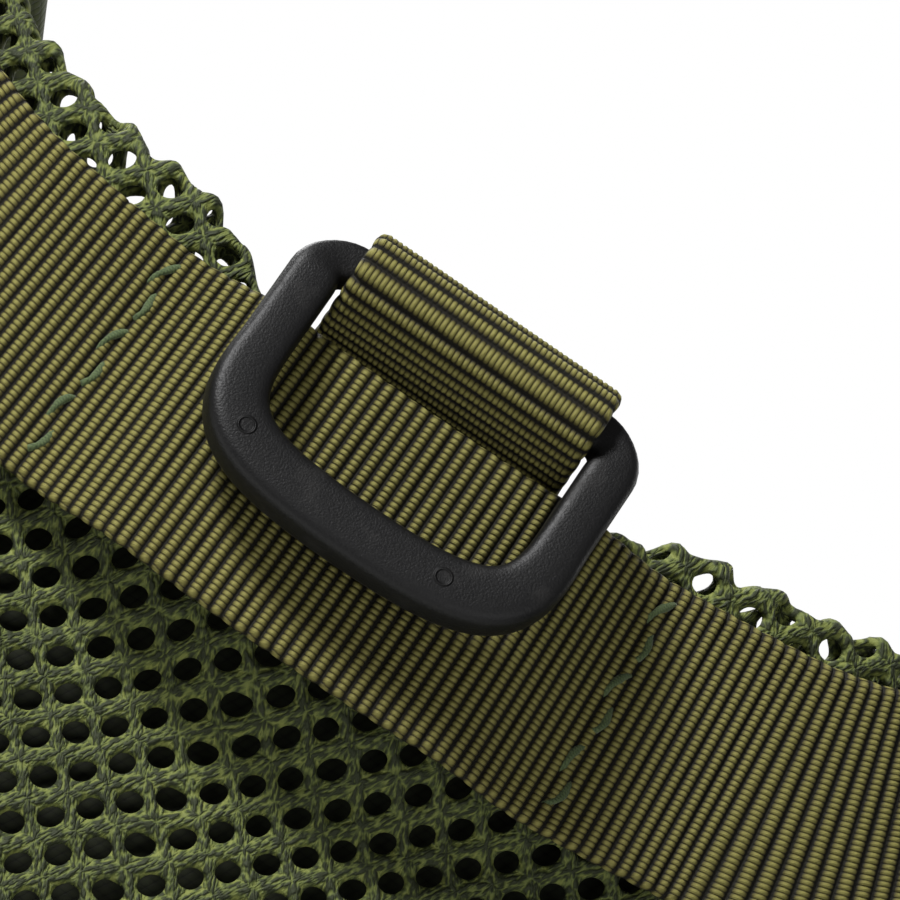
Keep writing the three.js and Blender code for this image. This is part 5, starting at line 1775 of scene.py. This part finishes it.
@dataclass
class ToolRings:
    """Two small moulded rings that hang in tabs of narrow webbing under the collarbones."""

    x: float = 72 * MM
    z: float = -112 * MM
    webbing_width: float = 15 * MM
    ring_width: float = 21.5 * MM
    ring_depth: float = 16 * MM
    ring_corner: float = 2 * MM
    stock: float = 2.8 * MM
    bar_thickness: float = 2.0 * MM
    bevel: float = 0.7 * MM
    rise: float = 8.5 * MM
    tail: float = 16 * MM
    seat: float = 1.9 * MM
    clearance: float = 0.45 * MM

    def build(self, finishes: Finishes) -> None:
        """Makes both tabs and both rings."""
        inner = math.hypot(self.stock / 2, self.stock / 2 - self.bevel) + self.clearance
        for side in (Side.LEFT, Side.RIGHT):
            about = Matrix.Rotation(math.pi, 4, "Y")
            matrix = BODY.frame_on(side.sign * self.x, self.z, False, self.seat) @ about
            route = LoopRoute(inner, self.rise, self.tail, inner + 1.7 * MM)
            name = "tool_ring_webbing_" + side.word
            tab = route.webbing(name, matrix, self.webbing_width, 0.25 * MM, 0.2 * MM)
            dress(tab, finishes.webbing, "vest", "tool_ring_tab_" + side.word, slot="webbing")
            across = np.linspace(-6 * MM, 6 * MM, 20)
            seams = []
            for up in (-3 * MM, -12 * MM):
                place = np.stack([across, np.full(20, 3.7 * MM), np.full(20, up)], -1)
                outs = np.broadcast_to(np.array(matrix)[:3, 1], place.shape)
                seams.append((moved(matrix, place), outs))
            Stitching().sew("tool_ring_stitching_" + side.word, seams, finishes)
            swing = Matrix.Translation((0, route.centre_y, route.centre_z)) @ about
            ring = HangingRing(self.ring_width, self.ring_depth, self.stock, self.stock, self.stock, self.stock,
                               self.bar_thickness, self.ring_corner, 120, 16)
            body = "tool_ring_" + side.word
            piece = ring.build(body + "_moulding", matrix @ swing)
            dress(piece, finishes.moulding, body, body, slot="moulded_black")


# ---- Moulded and small parts ----


@dataclass
class Moulding:
    """A moulded part with softened edges, made over its plain solid."""

    node: str
    body: str = "vest"
    edge: float = 0.35 * MM
    slot: str = "moulded_black"

    def build(self, material: bpy.types.Material) -> None:
        """Joins the solid's faces, rounds its edges and dresses it."""
        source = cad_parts[self.node]
        mesh = source.data.copy()
        mesh.materials.clear()
        shaped = bmesh.new()
        shaped.from_mesh(mesh)
        bmesh.ops.remove_doubles(shaped, verts=shaped.verts, dist=1e-6)
        bmesh.ops.dissolve_limit(shaped, angle_limit=2 * DEGREE, verts=shaped.verts, edges=shaped.edges)
        shaped.to_mesh(mesh)
        shaped.free()
        piece = bpy.data.objects.new(self.node + "_moulding", mesh)
        bpy.context.scene.collection.objects.link(piece)
        rounding = piece.modifiers.new("edges", "BEVEL")
        rounding.width = self.edge
        rounding.segments = 3
        rounding.limit_method = "ANGLE"
        rounding.angle_limit = 25 * DEGREE
        rounding.harden_normals = True
        mesh.shade_smooth()
        dress(piece, material, self.body, self.node, slot=self.slot)


@dataclass
class FrontZip:
    """The moulded front zip: toothed rows on woven tapes, its stops, box, pin, slider and pull."""

    top: float = -227 * MM
    row_gap: float = 1.7 * MM
    row_width: float = 2.7 * MM
    row_height: float = 2.6 * MM
    pitch: float = 2.9 * MM
    tape_width: float = 13 * MM
    tape_thickness: float = 0.8 * MM
    gap: float = 0.35 * MM

    def _teeth(self, side: Side) -> bpy.types.Object:
        """One row of teeth: a block on the tape and a rounded head that reaches past the middle."""
        low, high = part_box("zip_teeth_" + side.word)
        offset = 0.0 if side is Side.LEFT else self.pitch / 2
        count = int((high.z - low.z - self.pitch / 2) / self.pitch)
        outer = max(abs(low.x), abs(high.x))
        middle_y = (low.y + high.y) / 2
        half = self.row_height / 2
        neck, head, tip = 1.1 * MM, 0.1 * MM, -0.75 * MM
        upper = [(outer, 0.30), (outer - 1.5 * MM, 0.36), (neck, 0.27), (head, 0.44), (tip, 0.34)]
        outline = np.array(upper + [(x, -share) for x, share in reversed(upper)])
        points, quads, caps = [], [], []
        around = len(outline)
        for k in range(count):
            z = low.z + offset + (k + 0.5) * self.pitch
            for y, shrink in ((-half, 0.78), (-half * 0.7, 1.0), (half * 0.7, 1.0), (half, 0.78)):
                middle_x = outline[:, 0].mean()
                x = (middle_x + (outline[:, 0] - middle_x) * (0.5 + 0.5 * shrink)) * side.sign
                height = z + outline[:, 1] * self.pitch * shrink
                points.append(np.stack([x, np.full(around, middle_y + y), height], -1))
            base = k * 4 * around
            quads.append(grid_faces(4, around, False, True) + base)
            caps += [base + np.arange(around)[::-1], base + 3 * around + np.arange(around)]
        rows = np.concatenate(points)
        faces = facing_out(rows, [np.concatenate(quads), np.array(caps)])
        return new_piece(f"zip_teeth_row_{side.word}", rows, faces)

    def _tape(self, side: Side) -> bpy.types.Object:
        """A woven tape with a cord along its inner edge."""
        rows, cols = 170, 12
        z, u = np.meshgrid(np.linspace(BODY.hem, self.top, rows), np.linspace(0, 1, cols), indexing="ij")
        inner = self.row_gap / 2 + self.row_width + self.gap
        x = side.sign * (inner + self.tape_width * u)
        ripple = 0.12 * MM * np.sin(z * 700) * u
        cord = 0.25 * MM * np.exp(-((u / 0.12) ** 2))
        outer = BODY.place(x, z, False, -self.gap + cord + ripple - 0.1 * MM)
        inside = BODY.place(x, z, False, -self.gap - self.tape_thickness)
        rings = np.concatenate([outer, inside[:, ::-1]], axis=1)
        wide = np.concatenate([u, u[:, ::-1]], axis=1) * self.tape_width
        cloth = np.stack([np.broadcast_to(z[:, :1], wide.shape), wide], -1)
        return swept("zip_tape_cloth_" + side.word, rings, False, cloth)

    def build(self, finishes: Finishes) -> None:
        """Makes the zip."""
        for side in (Side.LEFT, Side.RIGHT):
            dress(self._teeth(side), finishes.moulding, "vest", "zip_teeth_" + side.word, slot="zip_moulding")
            dress(self._tape(side), finishes.binding, "vest", "zip_tape_" + side.word, slot="binding")
            Moulding("zip_top_stop_" + side.word, slot="zip_moulding").build(finishes.moulding)
            z = np.linspace(BODY.hem + 3 * MM, self.top - 2 * MM, 200)
            seams = []
            for x in (7 * MM, 12.5 * MM):
                seams.append((BODY.place(np.full(200, side.sign * (self.row_gap + x)), z, False, 1.35 * MM),
                              np.broadcast_to(np.array([0.0, -1.0, 0.0]), (200, 3))))
            Stitching().sew("zip_stitching_" + side.word, seams, finishes)
        for node in ("zip_retainer_box", "zip_insertion_pin"):
            Moulding(node, slot="zip_moulding").build(finishes.moulding)
        Moulding("zip_slider", "zip_slider", 0.12 * MM, "zip_moulding").build(finishes.moulding)
        Moulding("zip_pull", "zip_pull", 0.16 * MM, "zip_moulding").build(finishes.moulding)


# ---- Side straps ----


@dataclass
class SideStraps:
    """The straps that draw in the waist: each runs through a moulded buckle at the middle of the side."""

    z: float = -440 * MM
    reach: float = 84 * MM
    front_tail: float = 18 * MM
    back_tail: float = 46 * MM
    width: float = 25 * MM
    webbing: float = 1.6 * MM
    gap: float = 0.35 * MM
    seat: float = 1.9 * MM
    buckle_length: float = 28 * MM
    buckle_thickness: float = 3.6 * MM
    slot: float = 7.2 * MM
    rail: float = 3.4 * MM

    def _point(self, side: Side, back: Array, height: Array, z: Array) -> Array:
        """Points at the vest's side: distance behind its middle, height off the panel and height along it."""
        depth = BODY.depth_at(back > 0, np.full(np.shape(back), self.z))
        turn = np.arccos(signed_power(back / depth, BODY.side_roundness / 2))
        level = np.full(np.shape(turn), self.z - BODY.chest)
        point = BODY.off(side.sign * turn, level, self.seat + height)
        point[..., 2] += z
        return point

    def _route(self, direction: int, rail_at: float, tail: float, return_rise: float) -> Array:
        """Along the panel, round a rail of the buckle and back, as distance behind and height."""
        half = self.webbing / 2
        rise = self.webbing + self.gap + self.buckle_thickness / 2 + 1.1 * MM
        radius = rise - half
        share = np.linspace(0, 1, 30)
        out = np.stack([lerp(direction * self.reach, rail_at, share), np.full(30, half)], -1)
        angle = np.linspace(0, math.pi, 26)[1:]
        bend = np.stack([rail_at - direction * radius * np.sin(angle), rise - radius * np.cos(angle)], -1)
        top = rise + radius
        rest = self.webbing + self.gap + half
        run_out = direction * (self.buckle_length / 2 + 2 * MM)
        over = np.array([(run_out, top - return_rise)])
        fall = lerp(top - return_rise, rest, smoothstep(share[1:], 0, 0.6))
        tail_end = np.stack([run_out + direction * tail * share[1:], fall], -1)
        line, = evenly(np.concatenate([out, bend, over, tail_end]), 0.6 * MM)
        return line

    def _strap(self, side: Side, name: str, route: Array) -> bpy.types.Object:
        """Webbing along a route at the side."""
        flat = np.zeros(len(route))
        points = self._point(side, route[:, 0], route[:, 1], flat)
        along = unit(np.gradient(points, axis=0))
        up = np.broadcast_to(np.array([0.0, 0.0, 1.0]), points.shape)
        outs = unit(np.cross(up, along))
        if float(outs[3] @ np.array([side.sign, 0.0, 0.0])) < 0:
            outs = -outs
        surface, length = on_route(points - outs * self.webbing / 2, outs, up)
        return Webbing(name, self.width, self.webbing, 0.55 * MM, 0.6 * MM, False).build(surface, length)

    def build(self, finishes: Finishes) -> None:
        """Makes the four straps, their stitching and the two buckles."""
        front_rail = self.buckle_length / 2 - self.rail / 2
        slot_at = (self.buckle_length - 2 * self.rail - self.slot) / 2
        middle_rail = slot_at - self.slot / 2 - self.rail / 2
        plans = [
            ("front", -1, -front_rail, self.front_tail, 0.8 * MM),
            ("back", 1, -middle_rail, self.back_tail, 0.0),
        ]
        for side in (Side.LEFT, Side.RIGHT):
            Moulding("side_buckle_" + side.word, edge=0.7 * MM).build(finishes.moulding)
            for word, direction, rail_at, tail, rise in plans:
                node = f"{word}_side_strap_{side.word}"
                strap = self._strap(side, node + "_webbing", self._route(direction, rail_at, tail, rise))
                dress(strap, finishes.webbing, "vest", node, slot="webbing")
                z = np.linspace(-10 * MM, 10 * MM, 30)
                seams = []
                for back in (0, 5 * MM):
                    place = np.full(30, direction * (self.reach - 4 * MM - back))
                    low, high = (self._point(side, place, np.full(30, h * MM), z) for h in (1.75, 2.75))
                    seams.append((low, unit(high - low)))
                Stitching().sew(node + "_stitching", seams, finishes)


# ---- Stage ----


@dataclass
class Stage:
    """The camera, soft studio light and a plain pale floor."""

    lens: float = 340.0
    distance: float = 728 * MM
    elevation: float = 4 * DEGREE
    roll: float = 34.4 * DEGREE
    floor_radius: float = 1.6
    ambient: float = 0.16

    def _camera(self, target: Vector) -> None:
        """A close camera behind the wearer's neck, turned so that the collar runs down to the right."""
        back = Vector((0, math.cos(self.elevation), math.sin(self.elevation)))
        level = Vector((-1, 0, 0))
        upright = back.cross(level)
        up = upright * math.cos(self.roll) - level * math.sin(self.roll)
        right = up.cross(back)
        data = bpy.data.cameras.new("camera")
        data.lens = self.lens
        data.sensor_width = 36.0
        data.clip_start = 0.01
        camera = bpy.data.objects.new("camera", data)
        matrix = Matrix((right, up, back)).transposed().to_4x4()
        matrix.translation = target + back * self.distance
        camera.matrix_world = matrix
        bpy.context.scene.collection.objects.link(camera)
        bpy.context.scene.camera = camera

    @staticmethod
    def _area(name: str, place: Vector, target: Vector, size: float, power: float) -> None:
        """A square soft light aimed at a point."""
        data = bpy.data.lights.new(name, "AREA")
        data.size = size
        data.energy = power
        lamp = bpy.data.objects.new(name, data)
        lamp.location = place
        lamp.rotation_mode = "QUATERNION"
        lamp.rotation_quaternion = (target - place).to_track_quat("-Z", "Y")
        bpy.context.scene.collection.objects.link(lamp)

    def _world(self) -> None:
        """White seen directly, and a weaker light on the object."""
        world = bpy.data.worlds.new("studio")
        world.use_nodes = True
        nodes, links = world.node_tree.nodes, world.node_tree.links
        background = nodes["Background"]
        background.inputs["Color"].default_value = (1, 1, 1, 1)
        path = nodes.new("ShaderNodeLightPath")
        strength = nodes.new("ShaderNodeMapRange")
        strength.inputs["To Min"].default_value = self.ambient
        strength.inputs["To Max"].default_value = 1.0
        links.new(path.outputs["Is Camera Ray"], strength.inputs["Value"])
        links.new(strength.outputs[0], background.inputs["Strength"])
        bpy.context.scene.world = world

    def build(self, target: Vector) -> None:
        """Sets up the camera on its target, the lights, the world and the floor."""
        self._camera(target)
        self._area("key", target + Vector((1.35, 0.7, 1.4)), target, 0.45, 84)
        self._area("back_fill", Vector((-1.2, 2.2, 0.5)), Vector((0, 0, -0.2)), 1.6, 22)
        self._area("front_fill", Vector((-1.4, -1.9, 0.6)), Vector((0, 0, -0.3)), 1.6, 25)
        self._area("front_key", Vector((1.3, -1.7, 0.9)), Vector((0, 0, -0.3)), 0.8, 38)
        self._world()
        around = np.arange(96) * math.tau / 96
        rings = np.array([0.02, 0.4, 1.0])[:, None] * self.floor_radius
        low = BODY.hem - 1.5 * MM
        points = np.stack([rings * np.cos(around), rings * np.sin(around), np.full((3, 96), low)], -1)
        faces = [grid_faces(3, 96, False, True), np.arange(96)[None]]
        floor = new_piece("floor", points, faces)
        floor.data.materials.append(PlainFinish().material())
        bpy.context.scene.view_settings.view_transform = "Standard"


def main() -> None:
    """Builds the vest piece by piece around its frame."""
    logging.basicConfig(level=logging.INFO, format="%(message)s")
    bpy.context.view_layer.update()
    finishes = Finishes()
    strap = NeckStrap()
    Stage().build(strap.middle())
    strap.build(finishes)
    MeshPanels().build(finishes)
    EdgeBindings().build(finishes)
    ShoulderYokes().build(finishes)
    for pocket in pockets():
        pocket.build(finishes)
    FlyPatch().build(finishes)
    ToolRings().build(finishes)
    FrontZip().build(finishes)
    SideStraps().build(finishes)


if __name__ == "__main__":
    main()
